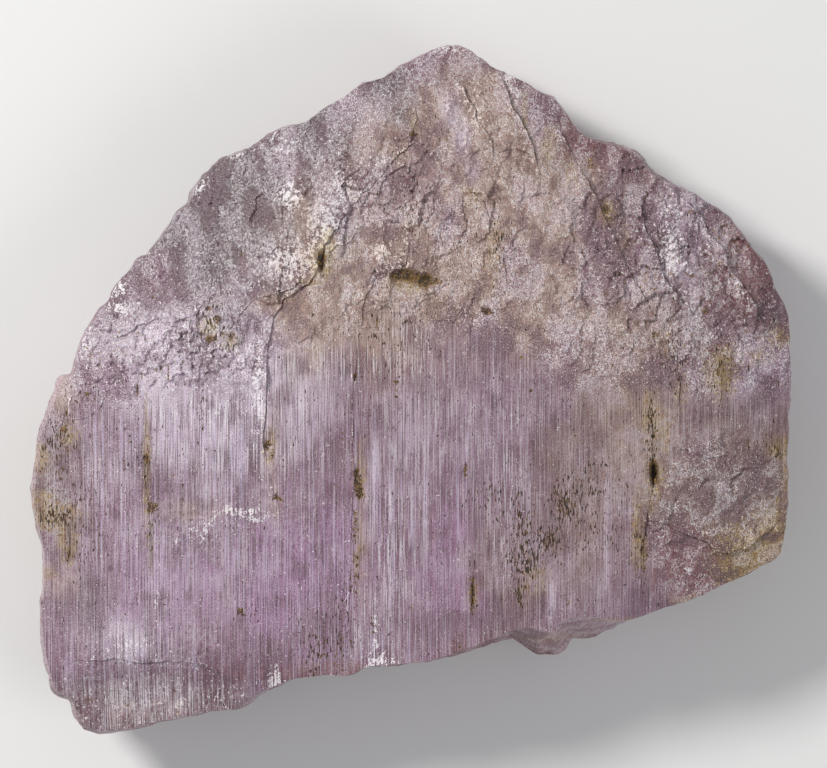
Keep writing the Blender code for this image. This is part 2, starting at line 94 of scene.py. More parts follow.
# How the wall is drawn along each stretch: how far the front edge stands inside the outline,
# the height of the widest level, how far the back edge stands inside, and the bow of the upper
# and of the lower wall (1 is a round quarter, 2 is a straight bevel).
WALLS = [
    (LEFT_SIDE, 1.2, 12.5, 5.5, 1.2, 1.6),
    (CROWN_LEFT, 0.8, 12, 5, 1, 1.4),
    (CROWN_RIGHT, 0.8, 12, 5, 1.1, 1.4),
    (RIGHT_SIDE, 1, 12.5, 5.5, 1.2, 1.6),
    (BASE_RIGHT, 1, 8, 3.5, 1.6, 1.3),
    (BASE_STEP, 4.2, 8, 3.5, 1.8, 1.3),
    (BASE_MIDDLE, 1.5, 7.5, 3.5, 1.7, 1.3),
    (BASE_LEFT, 1, 8, 3.5, 1.4, 1.3),
]
WALL_BLEND = 2.0
OUTLINE_BLEND = 0.3
FRONT_EDGE_BLEND = 0.9
BACK_EDGE_BLEND = 5.0
COURSE_BLEND = 2.5

# Front facets: a point on each plane (x, y, height), the compass it falls towards (degrees
# counterclockwise from X) and its slope in degrees. The face is the lowest of them everywhere.
FACETS = {
    "broad_face": (0, -10, FACE_HEIGHT, 0, 0.4),
    "left_strips": (-22, -15, FACE_HEIGHT, 180, 4),
    "left_shoulder": (-41, -15, FACE_HEIGHT - 1.3, 180, 20),
    "crown_left": (-10.5, 27.5, FACE_HEIGHT, 133, 29),
    "tip": (4.2, 31.6, FACE_HEIGHT - 0.4, 80, 21),
    "crown_right": (27.4, 20, FACE_HEIGHT - 0.8, 50, 29),
    "right_side": (34, -4.6, FACE_HEIGHT, 0, 8),
    "right_shoulder": (46.5, 0, FACE_HEIGHT - 1.8, 0, 20),
    "lower_left": (-35, -38.3, FACE_HEIGHT - 1.6, 255, 25),
    "lower_right": (41.9, -22, FACE_HEIGHT - 2, 315, 18),
}
FACET_SOFTNESS = 0.35

# Back facets, the same way, falling towards the front: the back is the highest of them and of
# the flat face that the crystal rests on.
BACK_FACETS = {
    "back_left": (-39, 0, 0, 180, 18),
    "back_right": (41, 0, 0, 0, 16),
    "back_crown_left": (-17, 17, 0, 133, 23),
    "back_crown_right": (24, 18, 0, 50, 24),
    "back_base": (0, -34, 0, 258, 28),
}

# Ledges where one layer of the crystal ends above the next. Each is walked with its high side
# on the right hand: height at the start and the end of the walk, how far back from the edge
# the rise spreads, how white its lip is (frost and painted light), how much clay lies at its
# foot, and the walk itself.
LEDGES = {
    "upper_ledge": (0.35, 0.45, 6, 1, 0.55, [(0.1, 42), (0.7, 38.1), (-0.3, 34.5), (-2.3, 32.2),
        (-5.7, 29), (-8.6, 25.8), (-10.3, 22.6), (-12, 20)]),
    "great_ledge": (0.6, 0.8, 7, 0.9, 0.35, [(-9.6, 24), (-10.3, 22.6), (-12.2, 20), (-13.2, 17.1),
        (-14.4, 14.6), (-16.5, 13.8), (-18.1, 12.3), (-19.6, 9.6), (-20.3, 5.5), (-20.5, -2)]),
    "left_seam": (0.35, 0.25, 4, 0.7, 0.6, [(-20.3, 5), (-20.4, 0.4), (-20.7, -4.6), (-21, -7.5),
        (-20.2, -11.9), (-18.8, -15.8), (-18.4, -20)]),
    "tongue": (0.5, 0.35, 2, 0.9, 0.2, [(-14.9, 15.6), (-17.1, 14.1), (-19.7, 13.3), (-22.2, 12.6),
        (-23.8, 11.3), (-24.8, 9.6)]),
    "middle_seam": (0.25, 0.2, 3, 0.35, 0.55, [(-7, 8.6), (-8.4, 0.4), (-8.3, -4.6), (-8.4, -8.3),
        (-8.1, -11.9), (-8.4, -16.2), (-8.6, -22), (-8.8, -34)]),
    "far_left_seam": (0.25, 0.25, 3, 0.4, 0.7, [(-37.8, -5.4), (-37.6, -12.6), (-37.1, -16.2),
        (-36.7, -23.2)]),
    "tip_facet": (0.9, 0.5, 3, 0.8, 0.3, [(6, 44.5), (7.2, 42.9), (8, 40.6), (9.6, 37.7), (11.2, 35.2),
        (11.5, 32)]),
    "tip_groove": (1.3, 0.6, 3.5, 0.8, 0.85, [(12.3, 45.4), (13.9, 41), (15.4, 37.8), (17.1, 34.5),
        (17.9, 30.5)]),
    "centre_arc": (0.45, 0.35, 3, 0.35, 0.9, [(7.6, 29), (10, 26.5), (10.9, 23.9), (11.7, 20.9),
        (12.8, 18.6), (13.3, 15)]),
    "right_arc": (1, 0.6, 3.5, 0.6, 0.7, [(19, 38.5), (21.2, 35.9), (23.8, 31), (26.4, 26.2),
        (28.9, 20.4), (31, 16.4), (33.2, 11.7), (34.7, 9.4)]),
    "shoulder_shingle": (1.2, 0.8, 3, 0.9, 0.5, [(32.2, 26.6), (33, 22.6), (34.4, 19.5), (35.6, 15.8),
        (37.3, 12.9), (40.1, 9.6)]),
    "outer_shingle": (1.2, 0.8, 3, 0.9, 0.4, [(37, 28.7), (39.6, 26.4), (41.2, 24), (43.8, 20.4),
        (45, 17.2), (46.7, 14.6), (48.4, 12), (50.4, 8)]),
    "right_seam": (0.25, 0.2, 3, 0.2, 0.8, [(34.7, 9.4), (35.8, 6.2), (37.3, 3), (37.7, 0.6),
        (37.4, -3)]),
    "lower_right_shell": (0.55, 0.55, 3, 0.62, 0.3, [(53.4, -17.2), (52.5, -18.2), (49.6, -20.9),
        (47.3, -22.5), (44.8, -23.3), (42.9, -23.1), (40.9, -21.4), (38, -19.9), (35.5, -19),
        (32.4, -18.6)]),
    "low_left_break": (0.5, 0.35, 3.5, 0.5, 0.2, [(-25.1, -41), (-27, -39.7), (-30.6, -38.3),
        (-34.9, -38.7), (-40.7, -38.4), (-49.4, -38.7)]),
    "under_step": (0.35, 0.3, 2, 0.8, 0.2, [(-7.5, 22.4), (-8.6, 20.8), (-10.6, 20), (-12.2, 18.6)]),
    "middle_arc": (0.25, 0.25, 3, 0.2, 0.7, [(0.4, 17.4), (-2.6, 16.6), (-5.2, 15.1), (-6.4, 13.6),
        (-7, 11.5), (-7, 8)]),
    "heart_line": (0.3, 0.25, 3, 0.8, 0.3, [(1.5, 24.5), (0.1, 22.6), (-0.3, 20.3), (-0.9, 17.1)]),
    "low_seam": (0.2, 0.2, 2, 0.3, 0.8, [(8.4, -21.5), (8.7, -25), (8.6, -29.3), (8, -32.5)]),
    "fissure_line": (0.25, 0.25, 2.5, 0.35, 0.8, [(33.2, -1), (33.5, -3.2), (33.8, -6.1), (33.7, -9),
        (33.9, -13.3), (33.2, -17), (32.2, -23)]),
    "shell_small": (0.3, 0.25, 2, 0.7, 0.1, [(42.3, -26.6), (41.5, -26.5), (39.4, -26), (37.1, -23.9),
        (36.5, -21), (35.1, -19.6)]),
    "shell_upper": (0.25, 0.25, 2.5, 0.65, 0.1, [(45, -9.4), (42, -10.2), (39.9, -9.6), (38.6, -9),
        (36.6, -8.7)]),
    "right_notch": (0.3, 0.3, 2, 0.6, 0.6, [(53.8, -9.6), (51.8, -9.2), (49.5, -10.6), (47, -9.8)]),
    "arc_over_centre": (0.3, 0.25, 2.5, 0.6, 0.3, [(17.8, 30.4), (16.8, 32.6), (14.6, 33.7),
        (12.4, 33.2), (10.8, 31.2), (10.4, 28.6)]),
    "left_scratch": (0.25, 0.2, 1, 1, 0.1, [(-47.9, -0.5), (-49, -4), (-50.6, -6.6), (-52, -8)]),
    "left_hollow": (0.25, 0.25, 2, 0.3, 0.3, [(-42.5, -1), (-43.8, -3.2), (-46.2, -4.6),
        (-49.4, -4.4)]),
    "left_stain_step": (0.25, 0.25, 2, 0.4, 0.9, [(-49.3, -17.6), (-48.6, -19.6), (-48.4, -22),
        (-48.5, -24.4)]),
    "cobble_bend": (0.35, 0.3, 2, 0.4, 0.2, [(-30, 14), (-29.2, 12.4), (-30.8, 10.4), (-33.5, 9.3),
        (-36.5, 9.9), (-38.5, 8.7), (-42.4, 6.4), (-46.5, 6.2)]),
    "chevron_left": (0.2, 0.2, 1, 1, 0, [(-30.8, -21.4), (-29, -18.5), (-26.2, -16.3), (-23.4, -17.4),
        (-19.6, -19)]),
    "chevron_low": (0.16, 0.12, 1, 0.8, 0, [(-34, -22.6), (-32, -20.3), (-29.6, -18.9)]),
}
LEDGE_TAPER = 0.14
LEDGE_FOOT_DEPTH, LEDGE_FOOT_REACH = 0.08, 0.6
LEDGE_POINT_STEP = 0.33
LEDGE_LIP = 0.055
LEDGE_RAGGED = ((2.9, 0.35), (1.3, 0.22), (0.6, 0.12))
LEDGE_BREAKS = 3.1
LEDGE_SEED = 100
BREAKS_SEED = 200
STRAIGHT_ALONG_AXIS = 0.8
ALONG_AXIS_FROM, ALONG_AXIS_FADE = 0.85, 0.13
# How much of a ledge is always there, and how much comes and goes.
LEDGE_STAYS, LEDGE_COMES = 0.72, 0.38
# The white of a ledge's lip, frost and painted light together: how far back it reaches, and how
# much further for each millimetre of rise, then how strong it is on the edge itself, and how much
# stronger where the lip is white.
LIP_REACH, LIP_REACH_PER_RISE = 0.5, 0.9
EDGE_FROST_AND_LIGHT, EDGE_FROST_AND_LIGHT_PER_WHITE = 0.35, 0.75
# How far frost and painted light, and clay, reach from the edge, on its high side and on its low
# side. The white on the low side is painted light on the riser.
EDGE_FROST_AND_LIGHT_REACH = (0.30, 0.14)
CLAY_EDGE = (0.12, 0.26)
# The dark band on a ledge's low side is a crack with painted shade at the foot of the step: its reach, its
# least darkness, and how much a white lip hides it.
CRACK_AND_SHADE_REACH = 0.20
LEAST_DARK = 0.45
WHITE_HIDES_CRACK = 0.9

# Pockets dissolved or broken into the face: centre, half width, half height and depth.
POCKETS = {
    "clay_pocket": (-1.3, 16, 1.9, 0.8, 0.9),
    "clay_pocket_right": (2, 15.2, 2, 0.7, 0.8),
    "fissure": (34, -11.9, 0.5, 1.7, 1.4),
    "small_pocket": (10.6, 10.9, 0.6, 0.5, 0.6),
    "ledge_pocket": (-12.7, 18.2, 0.5, 1.4, 0.6),
    "seam_pocket": (-7.7, -12, 0.45, 1.4, 0.5),
    "seam_pocket_low": (-7.2, -14.6, 0.6, 1.2, 0.5),
    "left_seam_pocket": (-20.3, -7.9, 0.6, 0.6, 0.5),
    "left_seam_foot": (-19, -15.2, 0.5, 0.5, 0.4),
    "hook": (7.5, -11.6, 0.25, 1, 0.3),
    "low_slot": (8.5, -28.6, 0.25, 2.4, 0.3),
}
POCKET_CLAY = 0.95
POCKET_RAGGED, POCKET_SEED = (0.6, 0.45, 0.7), 91

# Shallow thumb-print hollows that meet in ridges: centre and half size of the patch, size of
# one hollow across and along, their depth and the seed that places them.
HOLLOWS = {
    "crown_left": (-24, 23, 18, 16, 7, 7, 0.6, 3),
    "crown_right": (33, 24, 18, 14, 4.6, 8.5, 0.7, 5),
    "tip": (6, 38, 9, 9, 4.5, 7, 0.4, 7),
    "lower_right": (44, -14, 10, 10, 7, 5, 0.4, 11),
    "lower_left": (-38, -45, 14, 5, 4, 6, 0.4, 13),
    "crown_left_fine": (-24, 24, 19, 17, 2.3, 2.6, 0.16, 31),
    "cobbles": (-33.5, 5.6, 14, 5, 1.5, 1.2, 0.32, 33),
    "cobble_crumbs": (-33.5, 6.6, 15, 6.5, 0.75, 0.75, 0.12, 34),
    "rim_cobbles": (-42, 13, 5, 6, 1.3, 1.3, 0.25, 35),
    "crown_right_fine": (36, 21, 16, 15, 1.5, 2.8, 0.25, 36),
    "tip_fine": (8, 36, 12, 11, 1.6, 3, 0.16, 38),
    "centre_skin": (14, 14, 24, 17, 1.6, 2, 0.07, 39),
    "lower_right_fine": (44, -12, 12, 11, 1.6, 1.3, 0.14, 40),
    "lower_left_fine": (-38, -44, 15, 6, 1.2, 2.4, 0.2, 41),
    "left_edge": (-50, -14, 4, 16, 2.2, 2.6, 0.25, 42),
}
HOLLOW_MIDDLES = (0.1, 0.9)
HOLLOW_LIFTS = (0.0, 0.35)
SWELL_DEPTH, SWELL = 0.35, (16.0, 22.0, 17)
# Chips in the wall: their size along and up it, their depth and seed.
WALL_CHIPS = (6.5, 6.0, 0.8, 19)
FINE_WALL_CHIPS = (2.1, 1.9, 0.4, 20)
CHIP_RIDGE = 0.9
FINE_CHIPS_AT_EDGES = 0.35
WALL_FROST = 0.30
FROSTED_FROM, FROSTED_FADE = 0.35, 0.4
WALL_FADE_ROWS = 4
# How the outline and the wall's levels wander: cell, amount and seed.
OUTLINE_WANDER = ((3.4, 0.30, 24), (1.5, 0.20, 25))
RIM_WANDER = (13.0, 2.4, 23)
EDGE_WANDER = (8.0, 0.25, 29)
# The last share of the way round, where the wander is led back to its start.
WANDER_CLOSES = 0.1

# The upper bound of the striated ground, from left to right: above it the crystal is etched.
STRIATED_UNDER = [
    (-56, -2), (-51, 1), (-30, 2.5), (-20.5, 4.5), (-19, 9.5), (-2, 12.5), (13, 10), (22, 5), (33, 3),
    (55, 2),
]
STRIATED_FADE = 6.0
CONCHOIDAL = (43.5, -19.0, 11.0, 12.5)
CONCHOIDAL_SMOOTH = 0.9
BOUND_WANDER = (2.2, 2.0, 6.0)
BOUND_SEED = 51
# Layers of noise: the amount of each, and its cell across and along. The first takes the seed
# given, and each later one the next seed.
STRIATIONS = ((0.06, 2.3, 45), (0.05, 1.05, 28), (0.06, 0.56, 15))
STRIATION_SEED = 52
CREASE_DEPTH, CREASES = 0.05, (1.7, 33.0, 55)
STREAKS = ((1, 4, 16), (1, 1.2, 9))
STREAK_SEED = 371
MOTTLE = ((1, 2.2, 2.6), (0.6, 0.9, 1))
MOTTLE_SEED = 381
BROAD_MOTTLE_SHARE, BROAD_MOTTLE = 0.7, (5.5, 6.5, 383)
MOTTLE_CONTRAST = 0.42
CLOUDS = ((1, 5, 8), (0.6, 1.7, 3.4), (0.4, 0.7, 1.2))
TINT_CLOUD_SEED = 300
PLATE_CLOUD_SEED = 395
PECK_CLOUDS = (1.1, 2.4, 391)
PECKS_STAY, PECKS_CLOUDED = 0.85, 0.45

# Where the striations carry the most painted glints, white dashes in their colour.
GLINTS = [
    (-27, -1, 12, 11, 1), (-9, 6, 12, 7, 0.8), (6, -5, 18, 14, 0.36), (-38, -12, 13, 16, 0.38),
    (-3, -22, 3.5, 16, 0.6), (13, -14, 3, 16, 0.6), (47, 1, 6, 7, 0.35), (-38, -35, 12, 5, 0.45),
    # The patch at (-38, -45) is strong as painted light on the lower left facet, which falls away from the
    # key light.
    (-38, -45, 12, 4, 0.9), (-8, -33, 6, 6, 0.5), (20, -32, 6, 4, 0.4),
]
FEWEST_GLINTS = 0.16

# Where the ground is broken into small plates.
PLATED = [
    (-33, 7, 14, 7, 1), (-47, 7, 4, 6, 0.8), (-13, 22, 5, 8, 0.6), (33, 22, 12, 12, 0.8),
    (5, 33, 14, 9, 0.45), (42, 11, 10, 8, 0.6), (35, -9, 8, 14, 0.45), (45, -15, 9, 5, 0.6),
    (-20, 34, 9, 3, 0.6), (-29, -19, 13, 4, 0.6), (-36, -37, 8, 4, 0.6), (-51, -16, 4, 12, 0.7),
    (18, -21, 6, 8, 0.35), (0, 14, 8, 4, 0.3), (-38, -45, 14, 4, 0.5), (-24, 20, 10, 12, 0.25),
    (8, 45, 10, 4, 0.5),
]
FEWEST_PLATES = 0.08

# Where the skin is smooth.
POLISHED = [
    (-20.4, 11.9, 3.2, 1.5, 1), (-14, 11.5, 5.5, 5.5, 0.5), (37.2, -25.2, 5.6, 5, 0.7),
    (2, 30.5, 4, 4, 0.5), (-2, 37, 3.5, 4, 0.4), (44, -15.5, 5, 3.5, 0.5), (16, 26, 6, 5, 0.4),
    (-30, 26, 5, 5, 0.3), (28, 33, 4, 2.5, 0.4),
]

# Flakes: crescent steps like overlapping scales. The box they are scattered in, how many, their
# radius and height from least to most, the compass their open edge faces, and a seed.
FLAKES = {
    "crown_left": ((-44, 8, 2, 46), 90, (1.2, 4.2), (0.1, 0.32), -40, 61),
    "cobbles": ((-48, 0, -22, 14), 70, (0.8, 2), (0.1, 0.28), -60, 62),
    "upper_centre": ((-8, 14, 28, 40), 90, (0.9, 3), (0.06, 0.2), -50, 63),
    "crown_right": ((20, 4, 53, 34), 130, (1, 3.4), (0.1, 0.36), -25, 64),
    "lower_right": ((33, -30, 54, -6), 60, (0.8, 3.2), (0.06, 0.2), -80, 65),
    "lower_left": ((-53, -49, -20, -37), 50, (0.8, 2.2), (0.08, 0.2), -90, 66),
}
FLAKE_OPENING = 65.0
FLAKE_TURN = 30.0
FLAKE_STRETCH = (1.0, 1.9)
FLAKE_WAVE = (0.12, 0.9, 0.9)
FLAKE_FALL, FLAKE_EDGE = 0.45, 0.22
FLAKE_FROST = 0.6

# Small slots and pits that etching left along the striations: box, count, half width, half
# length and depth, each from least to most, and a seed.
SLOTS = {
    "left": ((-50, -30, -20, 4), 34, (0.09, 0.18), (0.4, 1.6), (0.12, 0.4), 71),
    "middle": ((-20, -38, 12, 12), 40, (0.09, 0.18), (0.4, 1.5), (0.12, 0.35), 72),
    "right": ((12, -32, 34, 6), 24, (0.09, 0.16), (0.3, 1.1), (0.12, 0.3), 73),
    "far_right": ((34, -8, 54, 6), 12, (0.09, 0.16), (0.3, 1.2), (0.12, 0.3), 74),
    "centre": ((-6, 2, 30, 14), 26, (0.1, 0.2), (0.15, 0.4), (0.15, 0.35), 81),
    "crown": ((-40, 12, -8, 38), 18, (0.12, 0.24), (0.15, 0.35), (0.15, 0.35), 82),
}
SLOT_FILLED = (0.3, 1.0)

# Where the ground is pecked full of dark pits.
PECKED = [
    (15.7, -23.8, 1.7, 2.2, 1.1), (19.3, -21, 1.8, 1.8, 1.05), (21.6, -16.2, 1.6, 2.8, 0.95),
    (25.3, -13.8, 1.4, 1.4, 0.9), (14.6, -18.5, 1.2, 3.5, 0.75), (15.2, -28.5, 0.8, 2.4, 0.8),
    (16.2, -19.5, 0.9, 3, 0.7), (23.2, -16.5, 2.4, 4, 0.62), (25.4, -11.6, 1.8, 1.6, 0.7),
    (26.4, -20, 2.6, 2.2, 0.6), (28.5, -14, 2, 2, 0.5), (11.5, -16.5, 1.5, 3.5, 0.5),
    (-36.8, -19.5, 0.5, 3.5, 0.8), (-37.3, -9.8, 0.5, 2.5, 0.75), (-7.9, -25, 0.4, 4.5, 0.75),
    (-9.6, -33, 1.5, 4, 0.6), (-13.5, -37, 2, 4, 0.6), (32.4, -22, 0.8, 4, 0.8),
    (33.7, -6, 0.7, 5, 0.8), (-0.5, 26, 3, 3, 0.34), (-2, 33.5, 1.5, 3.5, 0.36),
    (-46.5, -19.5, 2.6, 4.5, 0.62), (-50, -8, 2.5, 4, 0.62), (-45.7, -1, 1.6, 1.6, 0.8),
    (-50.3, -18.2, 3.2, 1.5, 0.8), (51.5, -8.3, 2.2, 1.2, 0.7), (-28.5, 9.5, 2.4, 2.2, 0.62),
    (-26, 6.6, 2, 1.4, 0.62), (8.5, -27, 0.5, 4, 0.7), (43, 3, 1.6, 3.5, 0.55), (6, 20, 5, 3, 0.32),
    (12.5, 20, 1.2, 5, 0.45), (36.5, 5, 1.5, 5, 0.5), (-23, -31.5, 1.4, 1, 0.75), (-3, 8, 3.5, 4, 0.45),
    (-29.6, -3, 0.3, 2.6, 0.6),
]

# Scales that the etched ground broke into: centre and half size of the patch, size of a scale,
# how steeply the scales tilt, and a seed.
SHINGLES = {
    "upper_centre": (6, 29, 17, 11, 3.6, 0.13, 401),
    "upper_small": (10, 22, 22, 16, 1.7, 0.14, 402),
    "right_shoulder": (36, 21, 17, 14, 2.7, 0.2, 403),
    "right_small": (40, 16, 15, 16, 1.3, 0.2, 404),
    "crown_left": (-24, 25, 19, 15, 4.5, 0.1, 405),
    "crown_left_small": (-22, 24, 20, 16, 1.6, 0.09, 406),
    "cobbles": (-33.5, 6, 15, 6, 1.3, 0.32, 407),
    "lower_right": (43.5, -16, 12, 14, 2.4, 0.12, 408),
    "far_right": (45, 0, 10, 8, 1.6, 0.1, 409),
    "bottom_left": (-38, -44.5, 15, 5.5, 1.3, 0.16, 410),
}
DOWNHILL = -50.0
SCALE_TURN = 55.0
SCALE_MIDDLES = (0.05, 0.95)
SCALE_TILTS = (0.3, 1.3)
SCALE_BEND, SCALE_BEND_CELL = 0.30, 0.8
SCALE_LENGTH = 1.25
SCALE_BORDER = 0.24
# How white a scale's high side is: frost and painted light.
SCALE_FROST_AND_LIGHT = 0.62
CRACKED_TILT = 0.18
SMOOTH_HOLLOW = (-13.5, 11.0, 8.0, 7.5)
SMOOTHED, HOLLOW_REACH = 0.9, 40.0

# ---- how finely it is meshed
EDGE_STEP = 0.52
FRONT_COLUMN = 0.27
STRIATED_ROW = 0.85
ETCHED_ROW = 0.34
LONG_CELLS_FROM = 0.6
SHARP_ANGLE = 38.0
BACK_COLUMN = 1.0
BACK_ROW = 2.0
FRONT_WALL_ROWS = 22
BACK_WALL_ROWS = 10
# The gaps that a grid's points keep, in columns and rows: to ledges, and to the sheet's edge.
LEDGE_GAP = (0.55, 0.45)
LOOP_GAP = 0.6

# The side of the lattice that noise repeats on, a distance past anything, and how fast the
# soft patches fade.
LATTICE = 128
FAR = 1e3
PATCH_FALL, PECKED_FALL = 0.7, 0.6


# ---- noise and patches
def smoothstep(values):
    values = np.clip(values, 0.0, 1.0)
    return values * values * (3.0 - 2.0 * values)


def draws(chance, low, high):
    return chance.uniform(low, high, (LATTICE, LATTICE))


def cells(x, y, cell_x, cell_y):
    """Coordinates counted in cells of the repeating lattice, and the cell each point is in."""
    u = x / cell_x + LATTICE / 2
    v = y / cell_y + LATTICE / 2
    return u, v, np.floor(u).astype(int), np.floor(v).astype(int)


def lattice_noise(x, y, cell_x, cell_y, seed):
    """Smooth noise from -1 to 1 whose lumps measure about cell_x by cell_y."""
    grid = draws(np.random.default_rng(seed), -1.0, 1.0)
    u, v, i, j = cells(x, y, cell_x, cell_y)
    across = smoothstep(u - i)
    along = smoothstep(v - j)

    def row(k):
        left, right = grid[i % LATTICE, k % LATTICE], grid[(i + 1) % LATTICE, k % LATTICE]
        return left * (1 - across) + right * across

    return row(j) * (1 - along) + row(j + 1) * along


def layered(x, y, layers, seed):
    """Noises of several sizes together."""
    return sum(
        amount * lattice_noise(x, y, *cell, seed + number)
        for number, (amount, *cell) in enumerate(layers)
    )


def neighbours(x, y, cell_x, cell_y, offset_x, offset_y):
    """The nine cells around each point, and the point's place from each one's own middle."""
    u, v, i, j = cells(x, y, cell_x, cell_y)
    for di in (-1, 0, 1):
        for dj in (-1, 0, 1):
            cell = (i + di) % LATTICE, (j + dj) % LATTICE
            yield cell, u - (i + di + offset_x[cell]), v - (j + dj + offset_y[cell])


def thumb_prints(x, y, cell_x, cell_y, seed):
    """Hollows from 0 at their middles to about 1 on the ridges where they meet."""
    chance = np.random.default_rng(seed)
    offsets = draws(chance, *HOLLOW_MIDDLES), draws(chance, *HOLLOW_MIDDLES)
    lift = draws(chance, *HOLLOW_LIFTS)
    lowest = np.full(np.shape(x), FAR)
    for cell, across, along in neighbours(x, y, cell_x, cell_y, *offsets):
        lowest = np.minimum(lowest, across**2 + along**2 + lift[cell])
    return lowest


def shingles(x, y, cell, tilt, seed):
    """Tilted scales: their height, and how close each point is to the low side of a step and
    to its high side."""
    chance = np.random.default_rng(seed)
    offsets = draws(chance, *SCALE_MIDDLES), draws(chance, *SCALE_MIDDLES)
    facing = np.radians(DOWNHILL + chance.normal(0.0, SCALE_TURN, (LATTICE, LATTICE)))
    slope = tilt * draws(chance, *SCALE_TILTS)
    bend, bend_cell = SCALE_BEND * cell, SCALE_BEND_CELL * cell
    bent_x = x + bend * lattice_noise(x, y, bend_cell, bend_cell, seed + 20)
    bent_y = y + bend * lattice_noise(x, y, bend_cell, bend_cell, seed + 40)
    nearest = second = np.full(np.shape(x), FAR)
    height = height_beyond = np.zeros(np.shape(x))
    for scale, across, along in neighbours(bent_x, bent_y, cell, SCALE_LENGTH * cell, *offsets):
        distance = np.hypot(across, along)
        turn = facing[scale]
        plane = across * np.cos(turn) + along * np.sin(turn)
        plane = plane * slope[scale] * cell
        closer = distance < nearest
        between = (distance < second) & ~closer
        height_beyond = np.where(closer, height, np.where(between, plane, height_beyond))
        second = np.where(closer, nearest, np.where(between, distance, second))
        height = np.where(closer, plane, height)
        nearest = np.where(closer, distance, nearest)
    border = np.exp(-(second - nearest) * cell / SCALE_BORDER)
    step = (height - height_beyond) / (0.5 * tilt * cell)
    return height, border * np.clip(-step, 0.0, 1.0), border * np.clip(step, 0.0, 1.0)


def oval(x, y, centre_x, centre_y, half_x, half_y):
    """0 at the middle of an oval, 1 on its edge and more outside."""
    return ((x - centre_x) / half_x) ** 2 + ((y - centre_y) / half_y) ** 2


def patch(x, y, *place):
    """1 inside an oval patch, fading to 0 outside it."""
    return smoothstep(1.5 - oval(x, y, *place))


def strongest(rows, x, y, least=0.0, fall=PATCH_FALL):
    """The strongest of a table's soft patches at each point."""
    total = np.full(np.shape(x), least)
    for *place, strength in rows:
        total = np.maximum(total, strength * np.exp(-fall * oval(x, y, *place)))
    return total


def scattered(table):
    """Each thing that a table scatters: its middle, the table's measures, its draws and seed."""
    for (low_x, low_y, high_x, high_y), count, *measures, seed in table.values():
        chance = np.random.default_rng(seed)
        across = chance.uniform(low_x, high_x, count)
        along = chance.uniform(low_y, high_y, count)
        for middle_x, middle_y in zip(across, along):
            yield middle_x, middle_y, measures, chance, seed


# ---- lines on the face
def walk(points, step):
    """Points along a polyline, no more than step apart, its own corners among them."""
    points = np.asarray(points, float)
    walked = []
    for start, end in zip(points[:-1], points[1:]):
        pieces = max(1, math.ceil(np.linalg.norm(end - start) / step))
        walked += [start + (end - start) * part / pieces for part in range(pieces)]
    return np.array(walked + [points[-1]])


def turned_right(run):
    """Unit vectors to the right of each step of a walk."""
    run = run / np.linalg.norm(run, axis=1)[:, None]
    return np.stack([run[:, 1], -run[:, 0]], axis=1)


def ragged_line(points, seed):
    """A ledge's edge: the listed walk, made as ragged as broken crystal."""
    line = walk(points, LEDGE_POINT_STEP)
    length = np.arange(len(line)) * LEDGE_POINT_STEP
    right = turned_right(np.gradient(line, axis=0))
    shift = np.zeros(len(line))
    for cell, amount in LEDGE_RAGGED:
        shift += amount * lattice_noise(length, 0 * length + seed, cell, 1.0, seed)
    # Where a ledge runs along the c axis it follows the cleavage, and is nearly straight.
    shift *= 1 - STRAIGHT_ALONG_AXIS * smoothstep((np.abs(right[:, 0]) - ALONG_AXIS_FROM) / ALONG_AXIS_FADE)
    return line + right * shift[:, None]


def ledge_lines():
    return [ragged_line(ledge[-1], LEDGE_SEED + i) for i, ledge in enumerate(LEDGES.values())]


def beside_line(x, y, line, reach):
    """Distance from a polyline, positive on its right, and the nearest place along it, 0 to 1.

    Points further off than reach are given a far distance and no exact place."""
    side = np.full(np.shape(x), FAR)
    place = np.full(np.shape(x), 0.5)
    low = line.min(axis=0) - reach
    high = line.max(axis=0) + reach
    close = (x > low[0]) & (x < high[0]) & (y > low[1]) & (y < high[1])
    runs = line[1:] - line[:-1]
    lengths = np.linalg.norm(runs, axis=1)
    before = np.concatenate([[0.0], np.cumsum(lengths)])
    best = np.full(x[close].shape, np.inf)
    near_side, near_place = side[close], place[close]
    for start, run, length, passed in zip(line[:-1], runs, lengths, before):
        from_x = x[close] - start[0]
        from_y = y[close] - start[1]
        part = np.clip((from_x * run[0] + from_y * run[1]) / length**2, 0.0, 1.0)
        gap = (from_x - part * run[0]) ** 2 + (from_y - part * run[1]) ** 2
        right = (from_x * run[1] - from_y * run[0]) / length
        # Of two runs that meet at the nearest corner, the one more to the side counts.
        score = gap - 1e-6 * right**2
        nearer = score < best
        best[nearer] = score[nearer]
        near_side[nearer] = (np.sign(right) * np.sqrt(gap))[nearer]
        near_place[nearer] = ((passed + part * length) / before[-1])[nearer]
    side[close] = near_side
    place[close] = near_place
    return side, place


def ledge_strength(place, line, number):
    """How much of a ledge is there: it fades at its ends and comes and goes along its length."""
    length = place * len(line) * LEDGE_POINT_STEP
    comes = lattice_noise(length, 0 * length, LEDGE_BREAKS, 1.0, BREAKS_SEED + number)
    ends = smoothstep(place / LEDGE_TAPER) * smoothstep((1 - place) / LEDGE_TAPER)
    return ends * (LEDGE_STAYS + LEDGE_COMES * comes)


def beside(side, reach):
    """1 on a line, fading over reach to each side of it."""
    return np.exp(-np.abs(side) / reach)


# ---- the front and the back
def plane_height(x, y, point_x, point_y, height, compass, slope):
    turn = math.radians(compass)
    fall = (x - point_x) * math.cos(turn) + (y - point_y) * math.sin(turn)
    return height - fall * math.tan(math.radians(slope))


def facet_height(x, y):
    planes = np.array([plane_height(x, y, *plane) for plane in FACETS.values()])
    lowest = planes.min(axis=0)
    spread = np.exp((lowest - planes) / FACET_SOFTNESS).sum(axis=0)
    return lowest - FACET_SOFTNESS * np.log(spread)


def back_height(x, y):
    """Zero on the resting face. A back facet rises outwards, as the negative of a plane falls."""
    planes = [-plane_height(x, y, *plane) for plane in BACK_FACETS.values()]
    return np.maximum(0.0, np.max(planes, axis=0))


